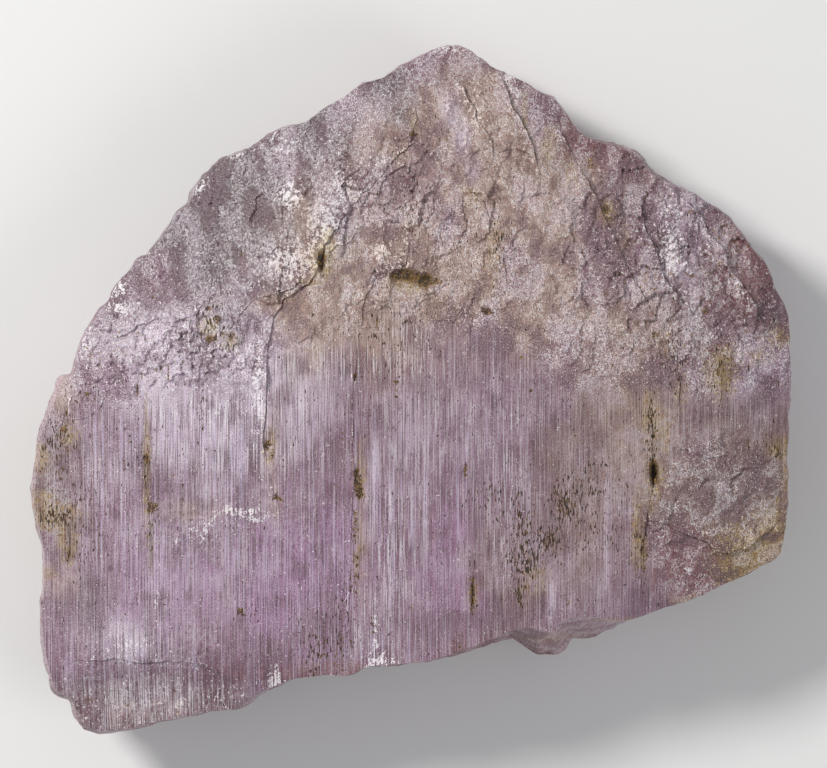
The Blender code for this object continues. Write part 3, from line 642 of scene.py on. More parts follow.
def striated_share(x, y):
    """How strongly the ground carries striations along the c axis, 0 to 1."""
    bound = np.interp(x, *np.array(STRIATED_UNDER).T) + layered(x, y, [BOUND_WANDER], BOUND_SEED)
    share = smoothstep((bound - y) / STRIATED_FADE)
    return share * (1 - CONCHOIDAL_SMOOTH * patch(x, y, *CONCHOIDAL))


def striations(x, y):
    """Fine ridges and grooves along the c axis, which run long distances and slowly change."""
    creases = np.abs(lattice_noise(x, y, *CREASES)) - 0.5
    return layered(x, y, STRIATIONS, STRIATION_SEED) + CREASE_DEPTH * creases


def flakes(x, y):
    """Height of all the flakes together, and how close each point is to a flake's open edge."""
    height, edge = np.zeros((2, len(x)))
    for middle_x, middle_y, (radii, heights, compass), chance, seed in scattered(FLAKES):
        radius = chance.uniform(*radii)
        step = chance.uniform(*heights)
        facing = math.radians(compass + chance.normal(0.0, FLAKE_TURN))
        stretch = chance.uniform(*FLAKE_STRETCH)
        close = (np.abs(x - middle_x) < 2.2 * radius) & (np.abs(y - middle_y) < 2.2 * radius)
        away_x = x[close] - middle_x
        away_y = (y[close] - middle_y) / stretch
        turn = np.arctan2(away_y, away_x) - facing
        turn = np.abs((turn + math.pi) % (2 * math.pi) - math.pi)
        open_side = smoothstep(1.4 - turn / math.radians(FLAKE_OPENING))
        wavy = radius * (1 + layered(x[close], y[close], [FLAKE_WAVE], seed))
        within = wavy - np.hypot(away_x, away_y)
        height[close] += step * (beside(within, FLAKE_FALL * radius) * (within > 0)) * open_side
        shown = open_side * beside(within, FLAKE_EDGE) * step / heights[1]
        edge[close] = np.maximum(edge[close], shown)
    return height, edge


def slots(x, y):
    """Depth of the small pits, and how much clay each point holds."""
    depth, clay = np.zeros((2, len(x)))
    for middle_x, middle_y, measures, chance, _ in scattered(SLOTS):
        half_x, half_y, deep = (chance.uniform(*measure) for measure in measures)
        filled = chance.uniform(*SLOT_FILLED)
        close = (np.abs(x - middle_x) < 3 * half_x) & (np.abs(y - middle_y) < 2 * half_y)
        away = oval(x[close], y[close], middle_x, middle_y, half_x, half_y)
        depth[close] = np.maximum(depth[close], deep * np.exp(-(away**2)))
        clay[close] = np.maximum(clay[close], filled * np.exp(-((0.8 * away) ** 2)))
    return depth, clay


def ledged(x, y, height):
    """The height with every ledge on it, and the frost and painted light, the clay, and the cracks
    with painted shade along their edges.
    """
    frost_and_light, clay, crack_and_shade = np.zeros((3, len(x)))
    for number, (line, ledge) in enumerate(zip(ledge_lines(), LEDGES.values())):
        start, end, reach, white, dirt, _ = ledge
        side, place = beside_line(x, y, line, 5 * reach)
        shown = ledge_strength(place, line, number)
        above = side > 0
        foot = -LEDGE_FOOT_DEPTH * beside(side, LEDGE_FOOT_REACH)
        rise = (start + (end - start) * place) * shown
        height = height + rise * np.where(above, beside(side, reach), foot)
        # The white on a lip and its edge is frost and painted light; on the low side it paints light onto
        # the riser.
        lip = np.where(above, beside(side, LIP_REACH + LIP_REACH_PER_RISE * start), 0.0)
        edge = beside(side, np.where(above, *EDGE_FROST_AND_LIGHT_REACH))
        frost_and_light = np.maximum(frost_and_light, white * lip * shown)
        edge_frost_and_light = EDGE_FROST_AND_LIGHT + EDGE_FROST_AND_LIGHT_PER_WHITE * white
        frost_and_light = np.maximum(frost_and_light, edge_frost_and_light * edge * shown)
        clay = np.maximum(clay, dirt * beside(side, np.where(above, *CLAY_EDGE)) * shown)
        # Painted shade at the foot of the step, with the crack and its clay; it is dark even where no clay
        # lies.
        dark = min(1.0, LEAST_DARK + dirt) * (1 - WHITE_HIDES_CRACK * white * (1 - dirt)) * shown
        crack_and_shade = np.maximum(crack_and_shade, np.where(above, 0.0, beside(side, CRACK_AND_SHADE_REACH)) * dark)
    return height, frost_and_light, clay, crack_and_shade


def hollowed(x, y, height, clay):
    """The height with its pockets, thumb prints and swell, and the clay that the pockets hold."""
    ragged = 1 + layered(x, y, [POCKET_RAGGED], POCKET_SEED)
    for *place, depth in POCKETS.values():
        away = oval(x, y, *place) * ragged
        height = height - depth * np.exp(-(away**2))
        clay = np.maximum(clay, POCKET_CLAY * np.exp(-0.7 * away))
    for *place, cell_x, cell_y, depth, seed in HOLLOWS.values():
        prints = thumb_prints(x, y, cell_x, cell_y, seed) - 0.5
        height = height + depth * patch(x, y, *place) * prints
    return height + SWELL_DEPTH * lattice_noise(x, y, *SWELL), clay


def front_surface(x, y):
    """Height of the front, with the frost and painted light on its broken edges, the clay, and the
    cracks with painted shade.
    """
    height, frost_and_light, clay, crack_and_shade = ledged(x, y, facet_height(x, y))
    height, clay = hollowed(x, y, height, clay)
    height = height + striated_share(x, y) * striations(x, y)
    flake_height, flake_edge = flakes(x, y)
    height = height + flake_height
    frost_and_light = np.maximum(frost_and_light, FLAKE_FROST * flake_edge)
    # The hollow under the great ledge is smooth, and keeps little of the scales.
    great_ledge = np.array(LEDGES["great_ledge"][-1])
    past_ledge = beside_line(x, y, great_ledge, HOLLOW_REACH)[0] < 0
    rough_ground = 1 - SMOOTHED * (patch(x, y, *SMOOTH_HOLLOW) * past_ledge)
    for *place, cell, tilt, seed in SHINGLES.values():
        share = patch(x, y, *place) * rough_ground
        tilted, low_side, high_side = shingles(x, y, cell, tilt, seed)
        height = height + share * tilted
        # Each scale's step: painted shade with a hair crack on its low side, painted light with frost on
        # its high side.
        crack_and_shade = np.maximum(crack_and_shade, share * low_side * min(1.0, tilt / CRACKED_TILT))
        frost_and_light = np.maximum(frost_and_light, SCALE_FROST_AND_LIGHT * share * high_side)
    slot_depth, slot_clay = slots(x, y)
    return height - slot_depth, frost_and_light, np.maximum(clay, slot_clay), crack_and_shade


# ---- the outline and the wall
def smooth_loop(values, reach):
    """Values around the closed outline, averaged over about reach millimetres each way."""
    values = np.asarray(values, float)
    spread = reach / EDGE_STEP
    half = math.ceil(3 * spread)
    weights = np.exp(-0.5 * (np.arange(-half, half + 1) / spread) ** 2)
    shifted = [w * np.roll(values, k, axis=0) for w, k in zip(weights, range(-half, half + 1))]
    return np.sum(shifted, axis=0) / weights.sum()


def inner_edge(loop, inset, blend):
    """The outline evened out and moved inwards by inset. The outline runs clockwise."""
    even = smooth_loop(loop, blend)
    course = smooth_loop(loop, max(blend, COURSE_BLEND))
    inwards = turned_right(np.roll(course, -1, axis=0) - np.roll(course, 1, axis=0))
    return even + inwards * np.asarray(inset)[:, None]


def around_noise(length, cell, amount, seed):
    """Slow wander around the outline that closes on itself."""
    whole = len(length) * EDGE_STEP
    start = lattice_noise(length, 0.0 * length, cell, 1.0, seed)
    end = lattice_noise(length - whole, 0.0 * length, cell, 1.0, seed)
    share = smoothstep((length / whole - (1 - WANDER_CLOSES)) / WANDER_CLOSES)
    return amount * (start * (1 - share) + end * share)


def outline_and_walls():
    """The outline's points and, for each, its wall's five measures."""
    loop = []
    measures = []
    for (stretch, *wall), (following, *_) in zip(WALLS, WALLS[1:] + WALLS[:1]):
        points = walk(stretch + [following[0]], EDGE_STEP)[:-1]
        loop.extend(points)
        measures.extend([wall] * len(points))
    length = np.arange(len(loop)) * EDGE_STEP
    inwards = sum(np.abs(around_noise(length, *wander)) for wander in OUTLINE_WANDER)
    return inner_edge(loop, inwards, OUTLINE_BLEND), smooth_loop(measures, WALL_BLEND)


def chipped(place, height, length, share):
    """One ring of the wall, dented inwards by chips. They fade out at its edges and its rim."""
    inwards = place.mean(axis=0) - place
    inwards /= np.linalg.norm(inwards, axis=1)[:, None]
    dents = [
        depth * np.clip(CHIP_RIDGE - thumb_prints(length, height, *cell, seed), 0.0, CHIP_RIDGE)
        for *cell, depth, seed in (WALL_CHIPS, FINE_WALL_CHIPS)
    ]
    fine_share = FINE_CHIPS_AT_EDGES + (1 - FINE_CHIPS_AT_EDGES) * share
    amount = dents[0] * share + dents[1] * fine_share
    return np.column_stack([place + inwards * amount[:, None], height])


def wall_rows(loop, measures):
    """Rings of points from the front edge over the widest level to the back edge."""
    inset_front, rim, inset_back, bow_front, bow_back = measures.T
    length = np.arange(len(loop)) * EDGE_STEP
    rim = rim + around_noise(length, *RIM_WANDER)
    front = inner_edge(loop, inset_front + around_noise(length, *EDGE_WANDER), FRONT_EDGE_BLEND)
    back = inner_edge(loop, inset_back, BACK_EDGE_BLEND)
    front_z = front_surface(*front.T)[0]
    back_z = back_height(*back.T)

    def ring(edge, edge_z, bow, out, up, part):
        place = edge + (loop - edge) * (out**bow)[:, None]
        return chipped(place, rim + (edge_z - rim) * up**bow, length, math.sin(part * math.pi))

    rings = []
    for part in np.arange(FRONT_WALL_ROWS) / FRONT_WALL_ROWS:
        sine, cosine = math.sin(part * math.pi / 2), math.cos(part * math.pi / 2)
        rings.append(ring(front, front_z, bow_front, sine, cosine, part))
    for part in np.arange(BACK_WALL_ROWS + 1) / BACK_WALL_ROWS:
        sine, cosine = math.sin(part * math.pi / 2), math.cos(part * math.pi / 2)
        rings.append(ring(back, back_z, bow_back, cosine, sine, part))
    return rings


# ---- points to mesh the sheets
def ledge_points():
    """Pairs of points just above and just below each ledge, so that its edge stays crisp."""
    pairs = []
    for line in ledge_lines():
        right = turned_right(np.gradient(line, axis=0))
        pairs += [line + right * LEDGE_LIP, line - right * LEDGE_LIP]
    return np.concatenate(pairs)


def inside(points, loop):
    """Which points lie inside a closed loop, by crossings of a ray along X."""
    x, y = points.T
    crossings = np.zeros(len(points), int)
    for (x1, y1), (x2, y2) in zip(loop, np.roll(loop, -1, axis=0)):
        if y1 != y2:
            spans = (y1 > y) != (y2 > y)
            crossings += spans & (x < (x2 - x1) * (y - y1) / (y2 - y1) + x1)
    return crossings % 2 == 1


def clear_of(points, others, gap_x, gap_y):
    """The points that keep a gap to all of the others."""
    points = points[np.argsort(points[:, 0])]
    keep = np.ones(len(points), bool)
    for other_x, other_y in others:
        first, last = np.searchsorted(points[:, 0], (other_x - gap_x, other_x + gap_x))
        keep[first:last] &= oval(*points[first:last].T, other_x, other_y, gap_x, gap_y) > 1.0
    return points[keep]


def staggered_grid(column, row, loop):
    low = loop.min(axis=0)
    high = loop.max(axis=0)
    columns = np.arange(low[0], high[0], column)
    x, y = np.meshgrid(columns, np.arange(low[1], high[1], row), indexing="ij")
    y = y + (np.arange(len(columns)) % 2)[:, None] * row / 2
    return np.column_stack([x.ravel(), y.ravel()])


def front_grid(loop):
    """Long cells over the striated ground, whose detail runs along Y, and short ones elsewhere."""
    long_cells = staggered_grid(FRONT_COLUMN, STRIATED_ROW, loop)
    short_cells = staggered_grid(FRONT_COLUMN, ETCHED_ROW, loop)
    return np.concatenate([
        long_cells[striated_share(*long_cells.T) >= LONG_CELLS_FROM],
        short_cells[striated_share(*short_cells.T) < LONG_CELLS_FROM],
    ])


def fill_loop(loop, points, column, row, extra):
    """Points inside a loop and the triangles over them. The loop's own points come first."""
    if len(extra):
        points = clear_of(points, extra, column * LEDGE_GAP[0], row * LEDGE_GAP[1])
        points = np.concatenate([points, extra])
    points = points[inside(points, loop)]
    points = clear_of(points, loop, column * LOOP_GAP, column * LOOP_GAP)
    everything = np.concatenate([loop, points])
    # The plane is squeezed along Y while it is triangulated, so that triangles run with the c axis.
    squeezed = [tuple(p) for p in everything * np.array([1.0, column / row])]
    ring = list(range(len(loop)))
    placed, _, faces, sources, _, _ = delaunay_2d_cdt(squeezed, [], [ring], 1, 1e-7)
    if len(placed) != len(everything) or any(s[0] != i for i, s in enumerate(sources)):
        raise RuntimeError("two points of a sheet coincide")
    return points, np.array(faces)


# ---- where the colours lie
# Each tint is a set of soft patches.
TINTS = {
    "grey": [
        (-26, 24, 17, 13, 1), (-12, 35, 13, 8, 0.8), (-41, 10, 6, 8, 0.5), (44, -14, 9, 5, 0.3),
        (-38, -44, 13, 5, 0.4), (50.5, 17, 3.6, 9, 0.8), (-46, -31, 6, 8, 0.45), (46, -27, 6, 2.5, 0.5),
        (-3.5, 41, 4.5, 6, 0.9), (24, 36.5, 6, 3, 0.6), (-50, -12, 3, 14, 0.3),
    ],
    "beige": [
        (-1.6, 15.7, 17, 13, 1), (15.8, 27.3, 15, 12, 1), (21.6, 12.8, 15, 11, 0.85),
        (8.7, 38.3, 9, 8, 0.9), (-32, -17, 5.5, 1.7, 0.9), (-19.6, -4, 1.4, 12, 0.7),
        (-6.6, -20, 1.2, 12, 0.6), (-50, -27, 4, 3, 0.5), (-15.5, 7.4, 5, 7, 1.1),
        (33, -7.5, 7, 10, 0.6), (20, -18, 8, 8, 0.5), (-20.4, 11.9, 3.2, 1.6, 1.1),
        (-38, -45, 12, 4, 0.5), (-4, 33, 5, 6, 0.8), (31, 12, 6, 12, 0.6), (-50, -1, 3, 4, 0.6),
    ],
    "lavender": [
        (-27, -2, 12, 9, 1.2), (-42, -7, 6, 7, 0.5), (2.8, -7.5, 11, 9, 0.35), (-9, -25, 8, 8, 0.3),
        (5.6, 39.5, 1.4, 3, 0.7), (7.2, 35.2, 1.5, 3, 0.6), (8.6, 31, 1.6, 2.6, 0.6),
        (-40.5, -35, 3.5, 3.5, 0.9), (-33, 7, 13, 5, 0.75), (47.5, 1, 5, 5, 0.5), (-26, -14, 9, 8, 0.5),
        (-33, -27, 14, 10, 0.46), (-38, -44.5, 12, 4, 0.4), (-5.6, -14, 0.5, 10, 0.9),
        (-3, -22, 0.4, 12, 0.8), (1.9, -18, 0.4, 14, 0.7), (11.8, -12, 0.5, 15, 0.6),
        (19.5, -30, 0.5, 6, 0.7), (27.5, -22, 0.5, 12, 0.6), (-14, -28, 0.5, 9, 0.5),
        (37, 18, 4, 9, 0.6), (45, 20, 4, 6, 0.4),
    ],
    "purple": [
        (-23, -25, 19, 10, 1), (-43, -30, 8, 10, 0.6), (3, -24, 10, 12, 0.6), (-12, -34, 11, 6, 0.5),
        (-40, 1.5, 5, 3, 0.5),
    ],
    "rose": [
        (30, -8, 12, 14, 0.9), (44, -14, 11, 12, 1.2), (50, -8, 5, 7, 0.8), (18, -24, 12, 9, 0.6),
        (34, 6, 10, 9, 0.6), (47, 16, 7, 9, 0.8), (-51, -14, 5, 10, 0.6), (-38, -45, 14, 4.5, 0.5),
        (20, 35, 12, 8, 0.4),
    ],
    "pink": [
        (37.2, -25.2, 5.6, 5, 1.25), (43, -28, 4, 2, 0.9), (22, -37.5, 14, 3.4, 1.3),
        (22, -41.5, 12, 3, 1.5), (0, -40, 22, 1.6, 1), (47, 17, 6, 9, 0.7), (27, 35, 10, 3.5, 0.8),
        (33, 22, 6, 8, 0.3), (-3, 47, 8, 4, 0.4), (-32, -47, 16, 3, 0.6),
    ],
    "ochre": [
        (-37.4, -11, 0.45, 9, 1), (-36.8, -23, 0.4, 4, 0.8), (-52.5, -15.6, 2.6, 1.4, 0.8),
        (-20, -8, 1, 2.6, 0.8), (-19, -16, 1.2, 2.4, 0.5), (-7.6, -22, 0.9, 9, 0.6),
        (48.5, -24.5, 5.5, 4, 1.2), (51.5, -19.5, 3.5, 4, 0.9), (46, -20.6, 6, 2.6, 0.6),
        (53.4, -12, 1.4, 6, 0.7), (31.8, -20, 0.9, 5, 0.9), (33, -4, 0.5, 4, 0.9),
        (35.6, -6.5, 0.6, 4, 0.7), (34, -12.4, 1.6, 3, 0.9), (40, -30, 5, 1.2, 0.6),
        (20, -35.6, 6, 0.6, 0.6), (30, -32.6, 6, 0.6, 0.6), (47, -20, 5, 2, 0.5),
        (43.6, 2.6, 2.6, 3.8, 0.9), (52, 7.3, 2.6, 2.2, 0.6), (52.6, -8.4, 2.2, 2, 0.9),
        (46, -23.8, 3.5, 1.3, 0.8), (-53.2, -9.7, 1.6, 1.9, 1.15), (-50.6, -18, 3.6, 1.8, 1.3),
        (-48.7, -21, 1.4, 3.4, 1.25), (-48.6, -6.6, 1.6, 2, 0.8), (-52, -26, 2, 1.2, 0.6),
        (-53.6, -17, 1.6, 2.2, 1.2), (0.3, 15.4, 3.4, 1.7, 0.9), (19.5, 34, 1.2, 3, 0.8),
        (22.5, 30.5, 1, 2.4, 0.7), (8, 27, 2.6, 1.6, 0.55), (14, 38, 0.8, 3, 0.5),
        (16, 39.6, 0.5, 3, 0.8), (-11.6, 20.6, 1, 2.2, 0.9), (-14.2, 15, 2, 0.6, 0.8),
        (48.5, 4.6, 3.6, 1.6, 0.55), (38, -1, 1.6, 5, 0.5), (0.2, 37.5, 0.8, 3, 0.6),
        (4, 11, 4, 3, 0.35), (-28.6, 8.6, 1.6, 1.6, 0.8), (-25.6, 6.8, 1.6, 1.2, 0.8),
        (32, -22, 1.2, 3.6, 0.9), (33.5, -14, 1.3, 5, 0.6), (34.2, -4.4, 2, 4, 0.7),
        (-17.5, 12, 3.5, 3, 0.4), (-37.2, -9, 0.8, 4, 0.7), (-36.9, -20.5, 0.7, 3.5, 0.6),
        (-7.3, -12, 1, 5, 0.7), (11.5, 19, 1.6, 6, 0.5), (27.6, 25, 1.4, 2.2, 0.7),
        (30, 21, 1.2, 3, 0.5), (-47, 12, 1, 1, 0.4), (35.5, 6.5, 2, 5, 0.4), (17.5, -27, 2.5, 3, 0.6),
        (-12.6, 18, 1.6, 2.4, 1), (8.6, -29, 1, 3, 0.6),
    ],
    "clay": [
        (-1.3, 16, 1.7, 0.8, 1), (2.2, 15.1, 2.2, 0.7, 0.9), (-12.7, 18, 0.6, 1.6, 0.9),
        (34, -11.7, 0.6, 1.7, 1.2), (10.6, 10.9, 0.8, 0.6, 0.9), (-7.6, -13.6, 0.6, 1.8, 1),
        (-8, -19, 0.35, 3.6, 0.75), (-8.6, -27, 0.3, 3, 0.6), (-20.3, -7.9, 0.8, 0.8, 0.9),
        (-19.6, -9.4, 0.5, 1.4, 0.6), (-18.6, -15.5, 0.7, 0.5, 0.7), (-36.6, -16.7, 1, 1.1, 0.8),
        (-37.4, -9.7, 0.6, 0.9, 0.8), (-33.6, -18, 2.4, 1.2, 0.35), (-49.2, -5.8, 0.7, 0.6, 0.8),
        (-48.6, -23.4, 0.3, 1.3, 0.9), (-28.7, 11.3, 0.6, 0.4, 0.8), (-27.4, 9.8, 0.6, 0.7, 0.9),
        (-28.2, 7, 1, 0.8, 0.8), (-25.4, 7.3, 0.6, 0.9, 0.7), (-45.7, -0.6, 0.7, 0.5, 0.7),
        (-24.1, -31.2, 0.6, 0.7, 0.7), (-22.4, -38, 0.3, 1.6, 0.6), (-10.7, -38, 0.25, 5, 0.7),
        (-0.1, -30.6, 0.5, 0.5, 0.6), (-5.7, -24, 0.8, 0.2, 0.6), (8.5, -28.6, 0.35, 2.6, 0.9),
        (7.5, -11.2, 0.35, 1, 0.9), (25.2, 32, 0.8, 1.8, 0.6), (27.4, 25.4, 0.6, 0.7, 0.9),
        (0, 36, 0.4, 1, 0.7), (41.2, 10.9, 0.5, 0.4, 0.8), (37.2, 12, 1, 0.4, 0.5),
        (33.9, 7.6, 0.25, 0.9, 0.9), (16, -23.6, 1.4, 1, 0.55), (12.4, 1.7, 0.22, 0.5, 0.9),
        (16.7, -0.4, 0.2, 1, 0.9), (-1.2, 2.4, 0.25, 0.7, 0.85), (-2.3, 1, 0.6, 0.22, 0.8),
        (19.4, -20.8, 1.3, 1, 0.55), (-8, 1.8, 0.4, 0.7, 0.8), (32.6, -22.3, 0.3, 1.8, 0.6),
        (-44, 8.4, 0.6, 0.3, 0.6), (22.3, -1.3, 0.2, 1.6, 0.8), (9, 26.5, 1.4, 0.8, 0.5),
    ],
    "frost_and_light": [
        (-17.2, 27.2, 1.9, 2.2, 1), (5.4, 40, 0.9, 2, 0.6), (7.4, 35.6, 0.9, 2.4, 0.55),
        (-24, -17.2, 3.4, 0.7, 0.7), (-29.4, -19.6, 0.8, 2.6, 0.6), (-42.3, 14.8, 2.2, 2, 0.9),
        (-30.8, 29.8, 1.3, 2.4, 1.1), (-18.5, 34.3, 3.6, 1.4, 0.6), (-41, 11.4, 2.4, 1, 0.9),
        (-2.4, 16.9, 2.4, 2.2, 0.7), (9.2, 39, 1.3, 4.5, 0.7), (13.8, 44.3, 1.6, 1.2, 0.9),
        (14.6, 41.6, 0.9, 2.4, 0.75), (17.2, 37.2, 0.8, 2.2, 0.5), (-4.4, 19.2, 1.4, 1.6, 0.9),
        (-0.9, 20.8, 0.5, 2.4, 0.8), (36.8, 25.2, 2.4, 2.4, 0.7), (36.4, 19.3, 2.2, 4.4, 1),
        (41.9, 18.6, 1.8, 2.4, 0.6), (44.4, 15, 1.4, 3, 0.6), (38.8, 11, 2, 3.4, 0.7),
        (-21.6, 1.5, 0.8, 8, 0.9), (-24, 5, 4, 4, 0.5), (-5.2, -36, 0.4, 4.6, 1.1),
        (-4.6, -38.6, 2, 1.6, 0.9), (-19.2, -41.2, 0.8, 1.7, 1.2), (-32.6, -44.6, 1, 0.8, 0.9),
        (-40, -36.5, 4, 1.6, 0.5), (-12.6, 23, 2.6, 4.5, 0.85), (-16.6, 18, 5, 3, 0.9),
        (-9.6, 28.2, 2, 3, 0.7), (-4.4, 31.8, 3, 2, 0.5), (-51, 3, 2, 1.4, 0.4),
        # The patch at (-38, -45) is partly painted light on the lower left facet, which falls away from the
        # key light.
        (-36, -30, 0.4, 2.5, 0.6), (1, 6, 0.6, 5, 0.3), (-38, -45, 12, 4, 0.52),
        (-33, 7.5, 12, 4.5, 0.5), (-46.5, 7.5, 1.6, 3.6, 0.8), (-37.8, 20.8, 1.4, 1.4, 0.7),
        (-25, 33.6, 3, 1, 0.8), (-20, 36, 2, 1, 0.7), (5, 48.4, 3, 1, 0.7), (16, 30, 3, 4, 0.35),
        (-26.5, 0, 6, 5, 0.3), (-52.6, -3.4, 1, 2.4, 0.5), (-47.4, -45, 1.6, 2.6, 0.5),
        (51, 12.5, 1.2, 4, 0.5), (24, 32, 3.5, 5, 0.35), (47, -20.8, 4.4, 1.7, 0.26),
        (51.5, -17.8, 2.2, 2.2, 0.3), (40.6, -20.4, 2.6, 0.6, 0.5), (-30, -20, 3, 2, 0.35),
        (-24, -17.5, 4, 1.5, 0.4),
    ],
}
CLOUDED = ("grey", "beige", "lavender", "purple", "pink", "rose")
CLOUDED_BY, MOST_TINT = 0.45, 1.3
ROSE_WITHOUT_FROST = 0.38
WALL_WITHOUT_STRIATIONS = 0.75


def clouded(share, x, y, seed):
    """A tint's share broken up by clouds, so that its patches have no outline of their own."""
    return np.clip(share * (1.0 + CLOUDED_BY * layered(x, y, CLOUDS, seed)), 0.0, MOST_TINT)


def surface_shares(vertices, wall, frost_and_light, clay, crack_and_shade):
    """What the material reads at each vertex, 0 to 1 and a little above."""
    x, y, z = vertices.T
    shares = {name: strongest(rows, x, y) for name, rows in TINTS.items()}
    for number, name in enumerate(CLOUDED):
        shares[name] = clouded(shares[name], x, y, TINT_CLOUD_SEED + 10 * number)
    shares["frost_and_light"] = np.maximum(shares["frost_and_light"] * (1 - wall), frost_and_light)
    shares["frost_and_light"] *= 1 - ROSE_WITHOUT_FROST * np.clip(shares["rose"], 0.0, 1.0)
    shares["clay"] = np.maximum(shares["clay"], clay) * (1 - wall)
    shares["striated"] = striated_share(x, y) * (1 - WALL_WITHOUT_STRIATIONS * wall)
    shares["streaky"] = np.clip(0.5 + 0.5 * layered(x, y, STREAKS, STREAK_SEED), 0.0, 1.0)
    shares["glints"] = strongest(GLINTS, x, y, FEWEST_GLINTS)
    shares["polished"] = strongest(POLISHED, x, y)
    shares["plates"] = strongest(PLATED, x, y, FEWEST_PLATES)
    shares["plates"] = clouded(shares["plates"], x, y, PLATE_CLOUD_SEED)
    mottle = layered(x, y + z, MOTTLE, MOTTLE_SEED)
    mottle += BROAD_MOTTLE_SHARE * lattice_noise(x, y, *BROAD_MOTTLE)
    shares["patchy"] = np.clip(0.5 + MOTTLE_CONTRAST * mottle, 0.0, 1.0)
    shares["pecked"] = strongest(PECKED, x, y, fall=PECKED_FALL)
    shares["pecked"] *= PECKS_STAY + PECKS_CLOUDED * lattice_noise(x, y, *PECK_CLOUDS)
    shares["crack_and_shade"] = crack_and_shade
    shares["wall"] = wall
    return shares


# ---- the mesh
def wall_triangles(count, rings):
    i = np.arange(count)
    j = (i + 1) % count
    for row in range(rings - 1):
        upper, lower = row * count, (row + 1) * count
        yield np.column_stack([upper + i, upper + j, lower + j])
        yield np.column_stack([upper + i, lower + j, lower + i])


def crystal_geometry():
    """The crystal's vertices: the wall's rings, then the front's points, then the back's."""
    loop, measures = outline_and_walls()
    rings = wall_rows(loop, measures)
    count = len(loop)
    front_loop, back_loop = rings[0][:, :2], rings[-1][:, :2]
    front_points, front_faces = fill_loop(
        front_loop, front_grid(front_loop), FRONT_COLUMN, ETCHED_ROW, ledge_points()
    )
    back_grid = staggered_grid(BACK_COLUMN, BACK_ROW, back_loop)
    back_points, back_faces = fill_loop(back_loop, back_grid, BACK_COLUMN, BACK_ROW, [])
    front_z, *front_marks = front_surface(*front_points.T)
    front = np.column_stack([front_points, front_z])
    back = np.column_stack([back_points, back_height(*back_points.T)])
    vertices = np.concatenate([*rings, front, back])
    first_front = count * len(rings)
    first_back = first_front + len(front)

    def numbered(faces, ring_start, inner_start):
        return np.where(faces < count, faces + ring_start, faces - count + inner_start)

    triangles = [numbered(front_faces, 0, first_front)]
    triangles.append(numbered(back_faces, count * (len(rings) - 1), first_back)[:, ::-1])
    triangles.extend(wall_triangles(count, len(rings)))
    marks = np.zeros((3, len(vertices)))
    marks[:, first_front:first_back] = front_marks
    wall = np.ones(len(vertices))
    wall[first_front:first_back] = 0.0
    length = np.arange(count) * EDGE_STEP
    for row in range(FRONT_WALL_ROWS):
        ring = slice(row * count, (row + 1) * count)
        wall[ring] = min(row / WALL_FADE_ROWS, 1.0)
        ridges = thumb_prints(length, vertices[ring, 2], *FINE_WALL_CHIPS[:2], FINE_WALL_CHIPS[3])
        marks[0, ring] = WALL_FROST * smoothstep((ridges - FROSTED_FROM) / FROSTED_FADE)
    return vertices, np.concatenate(triangles), surface_shares(vertices, wall, *marks)


def crystal_piece():
    vertices, triangles, shares = crystal_geometry()
    low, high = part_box(NODE)
    middle = (vertices.min(axis=0) + vertices.max(axis=0)) / 2
    vertices = (vertices - np.array([middle[0], middle[1], 0.0])) * MM
    vertices[:, 0] += (low.x + high.x) / 2
    vertices[:, 1] += (low.y + high.y) / 2
    mesh = bpy.data.meshes.new("kunzite_crystal")
    mesh.from_pydata(vertices.tolist(), [], triangles.tolist())
    mesh.validate()
    mesh.shade_smooth()
    mesh.set_sharp_from_angle(angle=math.radians(SHARP_ANGLE))
    for name, values in shares.items():
        attribute = mesh.attributes.new(name, "FLOAT", "POINT")
        attribute.data.foreach_set("value", values.astype(np.float32))
    mesh.materials.append(Kunzite().material)
    piece = bpy.data.objects.new("kunzite_crystal", mesh)
    bpy.context.scene.collection.objects.link(piece)
    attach(piece, BODY)
    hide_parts(NODE)
    print("crystal:", len(vertices), "vertices,", len(triangles), "triangles")


